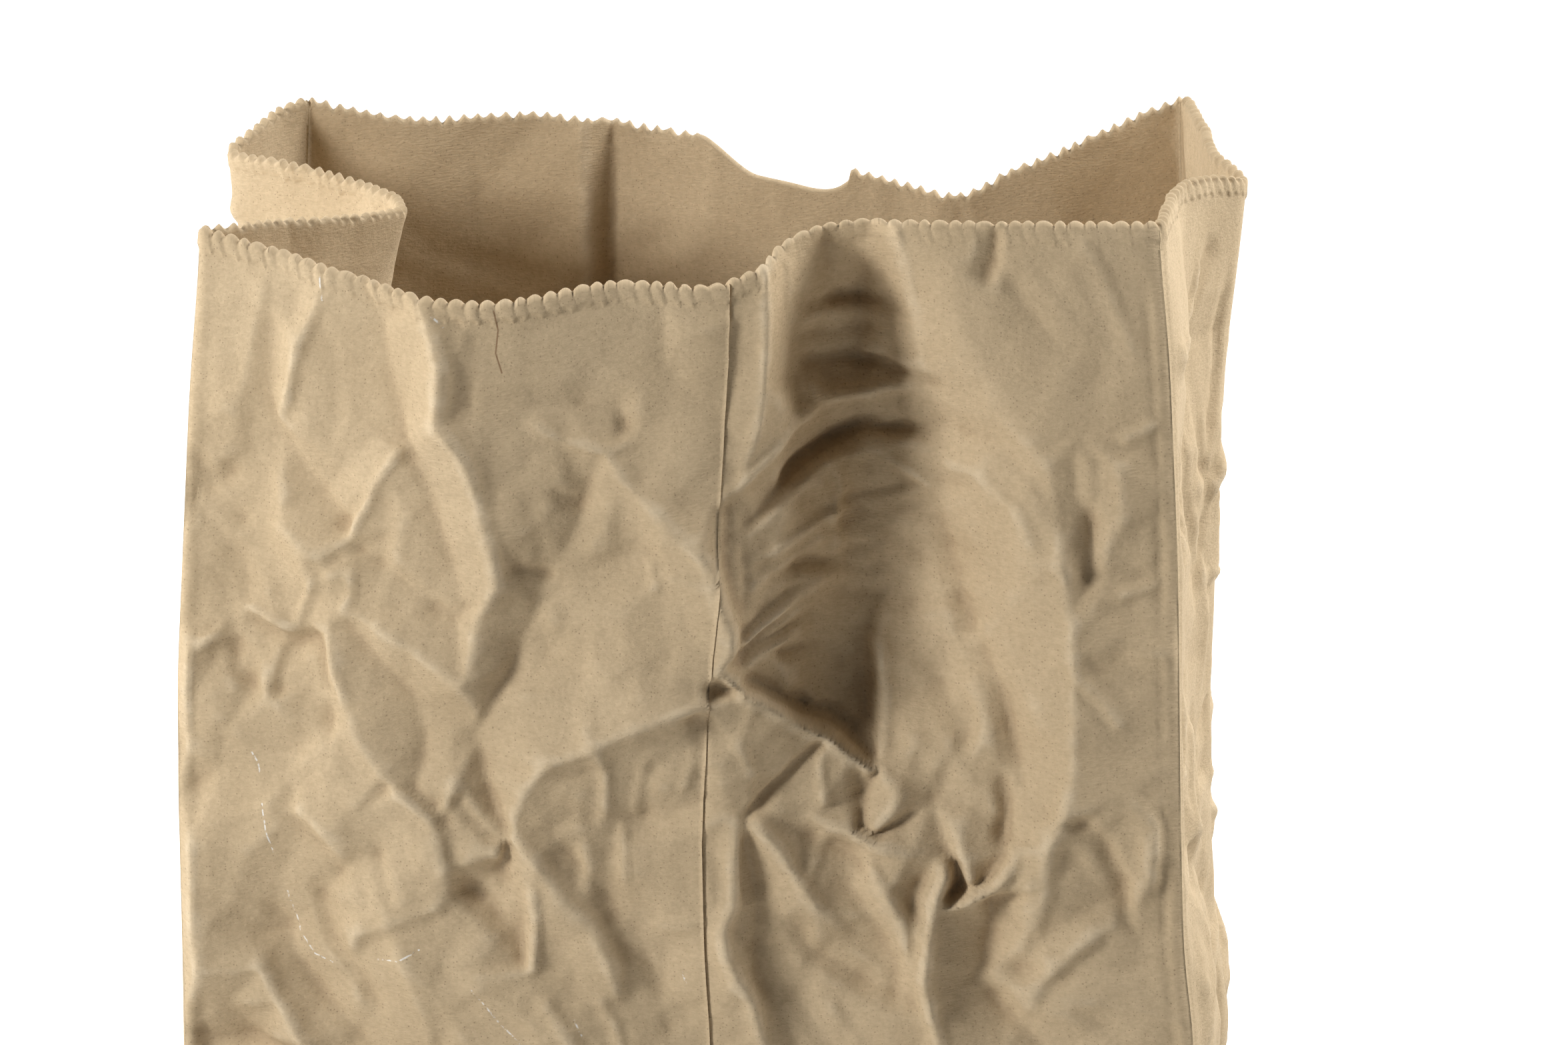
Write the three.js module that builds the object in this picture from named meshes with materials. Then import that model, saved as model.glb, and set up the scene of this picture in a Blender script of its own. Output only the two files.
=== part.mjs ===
// An open paper sack with pinked mouth, thumb notch, gusseted sides and a pasted block bottom.
// Millimetres, +Z up. The origin is the middle of the base on the surface it stands on, and the front,
// which carries the glued lap, faces -Y. Every wall is a sheet spanned between its bottom fold and the
// rim above it, and neighbouring sheets stop short of the fold they share so that they can turn about it.
import * as THREE from "three";

// Driving dimensions
const bagWidth = 257;
const bagDepth = 171;
const wall = 1; // thickness of a sheet
const clear = 0.3; // gap between sheets that lie on each other
const foldGap = 3.6; // from a fold line to the edge of a sheet that turns about it
const pleatGap = 5.6; // from a gusset's middle fold to the edge of each half
const toothPitch = 3.7;
const toothDepth = 1.8;
const pasteThickness = 0.3;
const lapWidth = 12; // how far the right half of the front runs behind the left half

const halfWidth = bagWidth / 2;
const halfDepth = bagDepth / 2;
const footTop = halfDepth; // the gusset's lower folds rise at 45 degrees, so they meet at this height
const wallFoot = wall + clear; // the walls start just above the bottom flaps
const flapOverlap = 20; // each long bottom flap passes the middle by this much
const flapRise = -flapOverlap - 6; // where the front flap starts to step up over the rear flap
const flapRisen = -flapOverlap - 1;
const pasteLevel = wall + clear; // underside of the paste between the two long flaps
const upperLevel = pasteLevel + pasteThickness + clear; // underside of the front flap where it is stepped up
const dabLevel = upperLevel + wall + clear; // underside of what lies on the stepped part
const pinkBand = 0.03; // share of a wall's height that the band under the pinked edge takes

// Rim of each side, as it stands after use: [x, y, z] along the top edge
const rim = {
  front: [
    [-120.5, -71, 356],
    [-98, -76, 352],
    [-64, -91, 345.5],
    [-45, -92.5, 344.5],
    [-17, -87.5, 348],
    [9, -83, 347.5],
    [19, -77.5, 351.5],
    [31, -71, 356.5],
    [47, -67.5, 359],
    [82, -67, 360],
    [117, -64, 360],
  ],
  back: [
    [-113, 63, 359.5],
    [-87, 65.5, 354],
    [-49, 74, 354],
    [-22, 74, 350.5],
    [12, 66, 347],
    [46, 59, 340],
    [62, 55.5, 338],
    [75, 57.5, 344.5],
    [98, 62.5, 354],
    [120.5, 67.5, 363],
  ],
  leftFrontHalf: [
    [-120.5, -71, 356],
    [-108, -63, 355.5],
    [-94, -50, 353.5],
    [-85, -35, 351.5],
    [-79, -21, 350],
    [-77.5, -8.5, 349.5],
  ],
  leftRearHalf: [
    [-113, 63, 359.5],
    [-119, 45, 357],
    [-123, 32, 354],
    [-105, 19, 352.5],
    [-85, 6, 350],
    [-77.5, -8.5, 349.5],
  ],
  rightFrontHalf: [
    [117, -64, 360],
    [120.5, -42, 360.5],
    [122.5, -25, 361],
    [130, -8.5, 359],
    [139, 4, 355],
  ],
  rightRearHalf: [
    [120.5, 67.5, 363],
    [124.5, 49, 361.5],
    [128.5, 25, 358.5],
    [134, 11, 357],
    [139, 4, 355],
  ],
};

// Thumb notch in the back's rim, as shares of the rim's length, and how deep it dips
const notch = { from: 0.43, to: 0.61, depth: 9 };

const kraft = new THREE.MeshStandardMaterial({ color: 0xc9b08a, roughness: 0.9, metalness: 0 });
const kraftBottom = new THREE.MeshStandardMaterial({ color: 0xbfa57e, roughness: 0.92, metalness: 0 });
const paste = new THREE.MeshStandardMaterial({ color: 0xd9c9a0, roughness: 0.6, metalness: 0 });

const bag = new THREE.Group();

function add(name, geometry, material) {
  const mesh = new THREE.Mesh(geometry, material);
  mesh.name = name;
  bag.add(mesh);
}

function curveThrough(points) {
  return new THREE.CatmullRomCurve3(points.map((p) => new THREE.Vector3(...p)), false, "centripetal");
}

// The surface spanned by straight lines from a bottom edge to the rim above it.
// u runs along both edges by length, from 0 to 1, and t rises from the bottom edge to the rim.
function spannedSurface(bottomPoints, rimPoints) {
  const bottom = curveThrough(bottomPoints);
  const top = curveThrough(rimPoints);
  const point = (u, t) => bottom.getPointAt(u).lerp(top.getPointAt(u), t);
  const normal = (u, t) => {
    const step = 0.004;
    const [u0, u1] = [Math.max(0, u - step), Math.min(1, u + step)];
    const along = point(u1, t).sub(point(u0, t));
    const up = point(u, 1).sub(point(u, 0));
    return up.cross(along).normalize();
  };
  return { point, normal, rimLength: top.getLength() };
}

// A sheet of paper on part of such a surface: a thin box, one column per half tooth, bent to the surface.
// offset(u) moves it off the surface along the normal, and dip(u) lowers its rim.
function bentSheet(surface, { from, to, thickness = wall, offset = () => 0, dip = () => 0, pinked = true }) {
  const teeth = Math.round(((to - from) * surface.rimLength) / toothPitch);
  const columns = 2 * Math.max(1, teeth);
  const levels = [0, 1 - pinkBand, 1];
  const geometry = new THREE.BoxGeometry(1, thickness, 1, columns, 1, levels.length - 1);
  const position = geometry.attributes.position;
  for (let i = 0; i < position.count; i++) {
    const column = Math.round((position.getX(i) + 0.5) * columns);
    const level = Math.round((position.getZ(i) + 0.5) * (levels.length - 1));
    const u = from + ((to - from) * column) / columns;
    const t = levels[level];
    const place = surface.point(u, t);
    place.addScaledVector(surface.normal(u, t), offset(u) + position.getY(i));
    if (level === levels.length - 1) {
      const lowered = dip(u);
      place.z -= lowered;
      if (pinked && lowered === 0 && column % 2 === 1) place.z -= toothDepth;
    }
    position.setXYZ(i, place.x, place.y, place.z);
  }
  return geometry;
}

// A flat shape drawn on X and Y, lying between two heights
function flatPiece(outline, z, thickness) {
  const shape = new THREE.Shape(outline.map(([x, y]) => new THREE.Vector2(x, y)));
  return new THREE.ExtrudeGeometry(shape, { depth: thickness, bevelEnabled: false }).translate(0, 0, z);
}

// A profile drawn on Y and Z, carried across X
function crossPiece(profile, x, width) {
  const shape = new THREE.Shape(profile.map(([y, z]) => new THREE.Vector2(y, z)));
  const geometry = new THREE.ExtrudeGeometry(shape, { depth: width, bevelEnabled: false });
  const [xAxis, yAxis, zAxis] = [0, 1, 2].map((k) => new THREE.Vector3().setComponent(k, 1));
  return geometry.applyMatrix4(new THREE.Matrix4().makeBasis(yAxis, zAxis, xAxis)).translate(x, 0, 0);
}

// Front: two halves of the sheet's ends, lapped and pasted near the middle
function addFront() {
  const surface = spannedSurface(
    [
      [-halfWidth, -halfDepth, wallFoot],
      [halfWidth, -halfDepth, wallFoot],
    ],
    rim.front,
  );
  const seam = 0.53;
  const lap = lapWidth / surface.rimLength;
  const edge = foldGap / surface.rimLength;
  const behind = wall + pasteThickness + 2 * clear;
  const settle = 0.2; // share of the width over which the lapped half comes back to the front's surface
  const lappedOffset = (u) => behind * (1 - THREE.MathUtils.smoothstep(u, seam, seam + settle));
  add("front_panel_left", bentSheet(surface, { from: edge, to: seam }), kraft);
  add("front_panel_right", bentSheet(surface, { from: seam - lap, to: 1 - edge, offset: lappedOffset }), kraft);
  add(
    "seam_paste_line",
    bentSheet(surface, {
      from: seam - 0.8 * lap,
      to: seam - 0.2 * lap,
      thickness: pasteThickness,
      offset: () => behind / 2,
      dip: () => toothDepth + 2,
      pinked: false,
    }),
    paste,
  );
}

function addBack() {
  const surface = spannedSurface(
    [
      [-halfWidth, halfDepth, wallFoot],
      [halfWidth, halfDepth, wallFoot],
    ],
    rim.back,
  );
  const edge = foldGap / surface.rimLength;
  const notchDip = (u) => {
    const across = (2 * (u - notch.from)) / (notch.to - notch.from) - 1;
    return Math.abs(across) < 1 ? notch.depth * Math.sqrt(1 - across * across) : 0;
  };
  add("back_panel", bentSheet(surface, { from: edge, to: 1 - edge, dip: notchDip }), kraft);
}

// Each side folds on a middle pleat. A half hangs from the corner fold beside it, above the 45-degree fold
// that leaves a triangular foot standing on the base.
function addGusset(side, x) {
  for (const [half, y] of [
    ["front", -halfDepth],
    ["rear", halfDepth],
  ]) {
    const rimName = side + (half === "front" ? "FrontHalf" : "RearHalf");
    const surface = spannedSurface(
      [
        [x, y, wallFoot + 2 * foldGap],
        [x, 0, footTop + 2 * foldGap],
      ],
      rim[rimName],
    );
    const from = foldGap / surface.rimLength;
    const to = 1 - pleatGap / surface.rimLength;
    add(`${side}_gusset_${half}`, bentSheet(surface, { from, to }), kraft);
  }
  const footHalf = halfDepth - 2 * foldGap;
  const profile = [
    [-footHalf, wallFoot],
    [flapRise - 1, wallFoot],
    [flapRisen - 1, dabLevel],
    [flapOverlap + clear, dabLevel],
    [flapOverlap + clear, wallFoot],
    [footHalf, wallFoot],
    [0, wallFoot + footHalf],
  ];
  add(`${side}_gusset_foot`, crossPiece(profile, x - wall / 2, wall), kraft);
}

// Bottom: the rear flap underneath, the front flap pasted over its edge, and two side tucks inside
function addBottom() {
  const overlap = flapOverlap;
  const tuckLevel = dabLevel + pasteThickness + clear;
  const outerX = halfWidth + wall / 2;
  const outerY = halfDepth + wall / 2;
  const pasteMargin = 4; // bare paper left beside a strip of paste

  const rearFlap = new THREE.BoxGeometry(2 * outerX, outerY + overlap, wall);
  add("bottom_rear_flap", rearFlap.translate(0, (outerY - overlap) / 2, wall / 2), kraftBottom);
  const frontFlap = [
    [-outerY, 0],
    [flapRise, 0],
    [flapRisen, upperLevel],
    [overlap, upperLevel],
    [overlap, upperLevel + wall],
    [flapRisen - 0.5, upperLevel + wall],
    [flapRise - 0.5, wall],
    [-outerY, wall],
  ];
  add("bottom_front_flap", crossPiece(frontFlap, -outerX, 2 * outerX), kraftBottom);
  const stripLength = 2 * halfWidth - 24;
  const strip = new THREE.BoxGeometry(stripLength, 2 * (overlap - pasteMargin), pasteThickness);
  add("flap_paste_strip", strip.translate(0, 0, pasteLevel + pasteThickness / 2), paste);

  const tuckReach = 70; // from a side's fold inwards
  const tuckRoot = halfWidth - wall / 2 - clear;
  const tuckHalf = halfDepth - 5;
  const dabLength = 50;
  const dabCentre = halfWidth - 40;
  for (const [side, sign] of [
    ["left", -1],
    ["right", 1],
  ]) {
    const outline = [
      [sign * tuckRoot, -tuckHalf],
      [sign * tuckRoot, tuckHalf],
      [sign * (tuckRoot - tuckReach), tuckHalf - tuckReach],
      [sign * (tuckRoot - tuckReach), tuckReach - tuckHalf],
    ];
    add(`bottom_${side}_tuck`, flatPiece(outline, tuckLevel, wall), kraftBottom);
    const dab = new THREE.BoxGeometry(dabLength, 2 * (overlap - pasteMargin) - 2, pasteThickness);
    dab.translate(sign * dabCentre, 0, dabLevel + pasteThickness / 2);
    add(`${side}_tuck_paste`, dab, paste);
  }
}

addFront();
addBack();
addGusset("left", -halfWidth);
addGusset("right", halfWidth);
addBottom();

export default bag;
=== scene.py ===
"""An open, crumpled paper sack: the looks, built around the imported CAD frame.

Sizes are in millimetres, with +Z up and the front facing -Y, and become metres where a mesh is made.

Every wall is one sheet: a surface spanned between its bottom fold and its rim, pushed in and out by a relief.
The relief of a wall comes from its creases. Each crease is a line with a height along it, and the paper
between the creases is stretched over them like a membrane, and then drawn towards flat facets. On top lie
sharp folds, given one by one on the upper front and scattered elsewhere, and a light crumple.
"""

import math

import bpy
import numpy as np
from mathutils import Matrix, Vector
from mathutils.geometry import delaunay_2d_cdt


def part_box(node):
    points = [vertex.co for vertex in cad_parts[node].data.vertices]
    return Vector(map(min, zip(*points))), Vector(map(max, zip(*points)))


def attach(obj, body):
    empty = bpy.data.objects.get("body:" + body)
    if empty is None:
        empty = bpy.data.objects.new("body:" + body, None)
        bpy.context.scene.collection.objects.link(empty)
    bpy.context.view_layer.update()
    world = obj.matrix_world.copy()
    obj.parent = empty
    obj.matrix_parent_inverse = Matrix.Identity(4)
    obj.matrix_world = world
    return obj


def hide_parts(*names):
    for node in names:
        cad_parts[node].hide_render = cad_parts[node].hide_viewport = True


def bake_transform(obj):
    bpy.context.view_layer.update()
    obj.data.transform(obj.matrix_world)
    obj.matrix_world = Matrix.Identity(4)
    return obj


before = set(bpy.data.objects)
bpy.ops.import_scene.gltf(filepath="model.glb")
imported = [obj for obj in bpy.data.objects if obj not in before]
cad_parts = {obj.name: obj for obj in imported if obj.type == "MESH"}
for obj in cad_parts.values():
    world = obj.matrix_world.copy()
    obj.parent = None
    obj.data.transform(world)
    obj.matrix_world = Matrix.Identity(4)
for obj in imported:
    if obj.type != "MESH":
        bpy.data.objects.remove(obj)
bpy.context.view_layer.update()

MM = 0.001
PITCH = {"front": 1.05, "back": 1.6}  # between the vertices of a wall, in mm
SIDE_PITCH = 1.35
SIDES = (("left", -1), ("right", 1))

# ---------------------------------------------------------------- sizes, in mm, as in the CAD source

flap_low, flap_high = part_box("bottom_rear_flap")
CAD_SHEET = 1.0  # thickness of the CAD sheets
HALF_WIDTH = (flap_high.x - flap_low.x) / 2 / MM - CAD_SHEET / 2
HALF_DEPTH = flap_high.y / MM - CAD_SHEET / 2
FOLD_LEVEL = 0.6  # height of the bottom folds' middle line
THICK = 2.4  # of a wall, as its edge shows
TOOTH = 3.7  # pinking, tooth to tooth
TOOTH_DEPTH = {"front": 1.3, "back": 1.9}
SIDE_TOOTH_DEPTH = 1.6
CORNER_RADIUS = 3.2
PLEAT_RADIUS = 7.5

# Rim of each side, seen as it stands: x, y, z along the top edge
RIM = {
    "front": [
        (-120.5, -71, 356), (-98, -76, 352), (-64, -91, 345.5), (-45, -92.5, 344.5), (-17, -87.5, 348),
        (9, -83, 347.5), (19, -77.5, 351.5), (31, -71, 356.5), (47, -67.5, 359), (82, -67, 360),
        (117, -64, 360),
    ],
    "back": [
        (-113, 63, 359.5), (-87, 65.5, 354), (-49, 74, 354), (-22, 74, 350.5), (12, 66, 347),
        (46, 59, 340), (62, 55.5, 338), (75, 57.5, 344.5), (98, 62.5, 354), (120.5, 67.5, 363),
    ],
    "left_front": [
        (-120.5, -71, 356), (-108, -63, 355.5), (-94, -50, 353.5), (-85, -35, 351.5), (-79, -21, 350),
        (-77.5, -8.5, 349.5),
    ],
    "left_rear": [
        (-113, 63, 359.5), (-122, 46, 356), (-128, 33, 352), (-112, 20, 352), (-88, 6, 350),
        (-77.5, -8.5, 349.5),
    ],
    "right_front": [(117, -64, 360), (120.5, -42, 360.5), (122.5, -25, 361), (130, -8.5, 359), (139, 4, 355)],
    "right_rear": [(120.5, 67.5, 363), (124.5, 49, 361.5), (128.5, 25, 358.5), (134, 11, 357), (139, 4, 355)],
}


# ---------------------------------------------------------------- curves and surfaces

def smooth(t):
    t = np.clip(t, 0.0, 1.0)
    return t * t * (3 - 2 * t)


class Curve:
    """A smooth curve through points, asked for by its share of the length."""

    def __init__(self, points, samples=40):
        points = np.array(points, float)
        ends = [2 * points[0] - points[1]], [2 * points[-1] - points[-2]]
        padded = np.concatenate([ends[0], points, ends[1]])
        dense = []
        for p0, p1, p2, p3 in zip(padded, padded[1:], padded[2:], padded[3:]):
            k0, k1, k2 = (max(np.linalg.norm(b - a), 1e-6) ** 0.5 for a, b in ((p0, p1), (p1, p2), (p2, p3)))
            m1 = p2 - p1 + k1 * ((p1 - p0) / k0 - (p2 - p0) / (k0 + k1))
            m2 = p2 - p1 + k1 * ((p3 - p2) / k2 - (p3 - p1) / (k1 + k2))
            s = np.linspace(0, 1, samples, endpoint=False)[:, None]
            dense.append(
                (2 * s**3 - 3 * s**2 + 1) * p1 + (s**3 - 2 * s**2 + s) * m1
                + (3 * s**2 - 2 * s**3) * p2 + (s**3 - s**2) * m2
            )
        self.points = np.concatenate([*dense, points[-1:]])
        steps = np.linalg.norm(np.diff(self.points, axis=0), axis=1)
        self.length = steps.sum()
        self.share = np.concatenate([[0], np.cumsum(steps)]) / self.length

    def __call__(self, u):
        return np.stack([np.interp(u, self.share, self.points[:, k]) for k in range(3)], -1)


class Wall:
    """The middle surface of one sheet before it was crumpled, spanned from foot (t = 0) to rim (t = 1)."""

    def __init__(self, foot, rim, outward):
        self.foot, self.rim = Curve(foot), Curve(rim)
        self.outward = np.array(outward, float)
        self.edges = {0: None, 1: None}

    def ruled(self, u, t):
        u, t = np.broadcast_arrays(np.clip(u, 0, 1), t)
        t = t[..., None]
        return self.foot(u) * (1 - t) + self.rim(u) * t

    def along(self, u, t):
        step = 0.004
        a, b = np.clip(u - step, 0, 1), np.clip(u + step, 0, 1)
        return self.ruled(b, t) - self.ruled(a, t)

    def up(self, u, t):
        return self.rim(np.clip(u, 0, 1)) - self.foot(np.clip(u, 0, 1)) + 0 * np.asarray(t)[..., None]

    def into(self, end, t):
        """Unit direction from the edge at u = end into the sheet, square to that edge."""
        t = np.asarray(t, float)
        u = np.full(t.shape, float(end))
        edge = unit(self.up(u, t))
        way = self.along(u, t) * (1 if end == 0 else -1)
        return unit(way - (way * edge).sum(-1, keepdims=True) * edge)

    def join(self, end, other, other_end, radius):
        self.edges[end] = (other, other_end, radius)
        other.edges[other_end] = (self, end, radius)


def unit(v):
    return v / np.maximum(np.linalg.norm(v, axis=-1, keepdims=True), 1e-9)


def edge_distance(wall, end, points):
    """How far points lie from the straight fold at u = end."""
    low, high = (wall.ruled(np.array(float(end)), np.array(t)) for t in (0.0, 1.0))
    edge = unit(high - low)
    off = points - low
    return np.linalg.norm(off - (off @ edge)[..., None] * edge, axis=-1)


def blurred(grid, radius):
    """Gaussian blur with a radius in cells."""
    reach = int(math.ceil(3 * radius))
    kernel = np.exp(-0.5 * (np.arange(-reach, reach + 1) / radius) ** 2)
    kernel /= kernel.sum()
    padded = np.pad(grid, reach, mode="edge")
    padded = sum(w * padded[i : i + grid.shape[0], :] for i, w in enumerate(kernel))
    return sum(w * padded[:, i : i + grid.shape[1]] for i, w in enumerate(kernel))


class Swell:
    """How far a fold line stands out from the straight line between its ends, by height, in mm."""

    TALLEST = 380
    ROUNDING = 7.0

    def __init__(self, way, pairs):
        self.way = np.array([*way, 0.0])
        self.heights = np.arange(0, float(self.TALLEST))
        line = np.interp(self.heights, *zip(*pairs))
        self.distances = blurred(line[None, :], self.ROUNDING)[0]

    def __call__(self, z):
        return np.interp(z, self.heights, self.distances)[..., None] * self.way


# Each fold line's way out, and how far it stands out at some heights
SWELLS = {
    "front_left": Swell((-1, -0.1), [
        (0, 0), (100, 1.5), (150, 2.4), (200, 4.1), (240, 4.9), (275, 3.7), (316, 2.3), (350, 0),
    ]),
    "front_right": Swell((1, -0.2), [
        (0, 0), (80, 1.5), (120, 3.5), (150, 6), (173, 3.4), (213, 3.2), (275, 3.5), (326, 2.2), (358, 0),
    ]),
    "rear_left": Swell((-1, 0.5), [(0, 0), (150, 0.8), (240, 1.4), (300, 1), (350, 0)]),
    "rear_right": Swell((1, 0.6), [(0, 0), (150, 1.2), (240, 1.2), (300, 0.8), (350, 0)]),
    "left_pleat": Swell((1, 0), [(0, 0), (88, 0), (160, -3), (240, -2), (300, 0), (350, 0)]),
    "right_pleat": Swell((1, 0), [
        (0, 0), (88, 0), (108, 4), (128, 7), (158, 1), (200, -2.7), (250, -3.4), (300, -3.9), (352, 0),
    ]),
}
EDGE_SWELLS = {"front": ("front_left", "front_right"), "back": ("rear_left", "rear_right")}
for side, _ in SIDES:
    for part in ("front", "rear"):
        EDGE_SWELLS[f"{side}_{part}"] = (f"{part}_{side}", f"{side}_pleat")


def middle_surface(name, u, t):
    """Points and outward normals of a crumple-free wall with its folds rounded and the sack's swell."""
    wall = WALLS[name]
    points = wall.ruled(u, t)
    along, up = wall.along(u, t), wall.up(u, t)
    normal = unit(np.cross(along, up))
    normal = normal * np.where((normal * wall.outward).sum(-1, keepdims=True) < 0, -1, 1)
    first, last = (SWELLS[key](points[..., 2]) for key in EDGE_SWELLS[name])
    for end in (0, 1):
        other, other_end, radius = wall.edges[end]
        distance = edge_distance(wall, end, points)
        b = 0.5 * np.clip(1 - distance / radius, 0, 1)[..., None]
        mine, theirs = wall.into(end, t), other.into(other_end, t)
        points = points + b**2 * radius * (mine + theirs)
        bisector = unit(np.cross(mine - theirs, up))
        bisector = bisector * np.sign((bisector * normal).sum(-1, keepdims=True))
        normal = unit(normal * (1 - smooth(2 * b)) + bisector * smooth(2 * b))
    points = points + (1 - u)[..., None] * first + u[..., None] * last
    return points, normal


# ---------------------------------------------------------------- reliefs

FLATNESS = 0.7  # how far the paper between creases lies in flat facets, and not like a stretched skin
FACET_HEIGHT = 0.8  # how unevenly the added corners of the facets stand, in mm


def nearest(places, drawn):
    """How far each place lies from the nearest drawn point."""
    return np.sqrt(((places[:, None] - drawn[None]) ** 2).sum(-1)).min(1)


class Relief:
    """Heights in mm over a wall laid flat: a runs across it and z up it."""

    CELL = 0.7
    COARSEST = 4  # how often the cells of the first membrane are doubled
    COARSE_SWEEPS, FINE_SWEEPS = 60, 40

    def __init__(self, width, height, creases, blur=0.7):
        self.width, self.height = width, height
        self.grid = self.stretch(creases)
        if creases:
            self.grid += FLATNESS * (self.flat_facets(creases) - self.grid)
        self.grid = self.softened(blur)

    def softened(self, radius):
        return blurred(self.grid, radius / self.CELL)

    def stretch(self, creases):
        """Membrane over the creases, from coarse cells to fine ones."""
        grid = None
        for level in range(self.COARSEST, -1, -1):
            cell = self.CELL * 2**level
            nx, nz = int(math.ceil(self.width / cell)) + 1, int(math.ceil(self.height / cell)) + 1
            if grid is None:
                grid = np.zeros((nz, nx))
            else:
                grid = resample(grid, nz, nx)
            fixed, target = self.draw(creases, cell, nz, nx)
            fixed[:, 0] = fixed[:, -1] = fixed[0, :] = True
            target[:, 0] = target[:, -1] = target[0, :] = 0
            grid[fixed] = target[fixed]
            for _ in range(self.COARSE_SWEEPS if level else self.FINE_SWEEPS):
                relax(grid, fixed)
        return grid

    def flat_facets(self, creases, spacing=17.0, seed=5, clearance=6.0):
        """The same creases joined by flat triangles, with a few folds more between them."""
        rng = np.random.default_rng(seed)
        half = self.width / 2
        edge = [(x, z) for x in (-half, half) for z in np.arange(0, self.height + 1, 15)]
        edge += [(a, z) for z in (0, self.height) for a in np.arange(-half + 12, half - 11, 12)]
        across, up = np.arange(-half + 9, half, spacing), np.arange(9, self.height, spacing)
        inner = np.array([(a, z) for a in across for z in up])
        inner += rng.uniform(-0.42, 0.42, inner.shape) * spacing
        lines = [np.array(crease, float) for crease in creases]
        drawn = np.concatenate(lines)[:, :2]
        inner = inner[nearest(inner, drawn) > clearance]
        places = np.concatenate([drawn, np.array(edge), inner])
        starts = np.cumsum([0] + [len(line) for line in lines])
        folds = [(i, i + 1) for a, b in zip(starts, starts[1:]) for i in range(a, b - 1)]
        corners, _, triangles, *_ = delaunay_2d_cdt([Vector(p) for p in places], folds, [], 0, 1e-3)
        corners = np.array([tuple(c) for c in corners])
        heights = self.sample(corners[:, 0], corners[:, 1], self.grid)
        loose = nearest(corners, drawn) > clearance - 1
        inside = (np.abs(corners[:, 0]) < half - 4) & (corners[:, 1] > 6)
        heights = heights + np.where(loose & inside, rng.normal(0, FACET_HEIGHT, len(heights)), 0)
        flat = self.grid.copy()
        for triangle in triangles:
            self.fill(flat, corners[list(triangle)], heights[list(triangle)])
        return flat

    def fill(self, grid, corners, heights):
        """Writes one flat triangle into the grid."""
        x = (corners[:, 0] + self.width / 2) / self.CELL
        y = corners[:, 1] / self.CELL
        j0, j1 = max(0, int(x.min())), min(grid.shape[1] - 1, int(x.max()) + 1)
        i0, i1 = max(0, int(y.min())), min(grid.shape[0] - 1, int(y.max()) + 1)
        area = (x[1] - x[0]) * (y[2] - y[0]) - (x[2] - x[0]) * (y[1] - y[0])
        if abs(area) < 1e-6:
            return
        i, j = np.mgrid[i0 : i1 + 1, j0 : j1 + 1]
        second = ((j - x[0]) * (y[2] - y[0]) - (x[2] - x[0]) * (i - y[0])) / area
        third = ((x[1] - x[0]) * (i - y[0]) - (j - x[0]) * (y[1] - y[0])) / area
        inside = (second >= -1e-6) & (third >= -1e-6) & (second + third <= 1 + 1e-6)
        height = heights[0] + second * (heights[1] - heights[0]) + third * (heights[2] - heights[0])
        grid[i0 : i1 + 1, j0 : j1 + 1][inside] = height[inside]

    def draw(self, creases, cell, nz, nx):
        """The cells that the creases pass through, and their heights there."""
        total, count = np.zeros((nz, nx)), np.zeros((nz, nx))
        for crease in creases:
            line = np.array(crease, float)
            for (a0, z0, h0), (a1, z1, h1) in zip(line, line[1:]):
                n = int(max(abs(a1 - a0), abs(z1 - z0)) / cell * 2) + 2
                s = np.linspace(0, 1, n)
                i = np.clip(np.rint((z0 + (z1 - z0) * s) / cell).astype(int), 0, nz - 1)
                j = np.clip(np.rint((a0 + (a1 - a0) * s + self.width / 2) / cell).astype(int), 0, nx - 1)
                np.add.at(total, (i, j), h0 + (h1 - h0) * s)
                np.add.at(count, (i, j), 1)
        drawn = count > 0
        return drawn, np.where(drawn, total / np.maximum(count, 1), 0)

    def sample(self, a, z, grid):
        """Heights between the cells of a grid."""
        x = np.clip((a + self.width / 2) / self.CELL, 0, grid.shape[1] - 1.001)
        y = np.clip(z / self.CELL, 0, grid.shape[0] - 1.001)
        i, j = y.astype(int), x.astype(int)
        fy, fx = y - i, x - j
        top = grid[i + 1, j] * (1 - fx) + grid[i + 1, j + 1] * fx
        return (grid[i, j] * (1 - fx) + grid[i, j + 1] * fx) * (1 - fy) + top * fy

    def sharpen(self, radius=1.6, share=0.7):
        self.grid += share * (self.grid - self.softened(radius))

    def mark_folds(self, radius=2.6):
        """Keeps how far each place stands above its surroundings, for the paper's colour: painted shade in
        the hollows, and pale wear with a painted highlight on the ridges.
        """
        self.folds = self.grid - self.softened(radius)


def resample(grid, nz, nx):
    """The same grid with other numbers of rows and columns."""
    y, x = np.linspace(0, grid.shape[0] - 1, nz), np.linspace(0, grid.shape[1] - 1, nx)
    i, j = np.minimum(y.astype(int), grid.shape[0] - 2), np.minimum(x.astype(int), grid.shape[1] - 2)
    fy, fx = (y - i)[:, None], (x - j)[None, :]
    low = grid[i][:, j] * (1 - fx) + grid[i][:, j + 1] * fx
    high = grid[i + 1][:, j] * (1 - fx) + grid[i + 1][:, j + 1] * fx
    return low * (1 - fy) + high * fy


def relax(grid, fixed, haste=1.8):
    """One sweep that pulls each free cell past the mean of its neighbours. The upper edge is free."""
    rows, columns = np.indices(grid.shape)
    for colour in (0, 1):
        grid[-1, 1:-1] = np.where(fixed[-1, 1:-1], grid[-1, 1:-1], grid[-2, 1:-1])
        mean = (grid[:-2, 1:-1] + grid[2:, 1:-1] + grid[1:-1, :-2] + grid[1:-1, 2:]) / 4
        inner = grid[1:-1, 1:-1]
        turn = ((rows[1:-1, 1:-1] + columns[1:-1, 1:-1]) % 2 == colour) & ~fixed[1:-1, 1:-1]
        inner[turn] += haste * (mean - inner)[turn]


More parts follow.
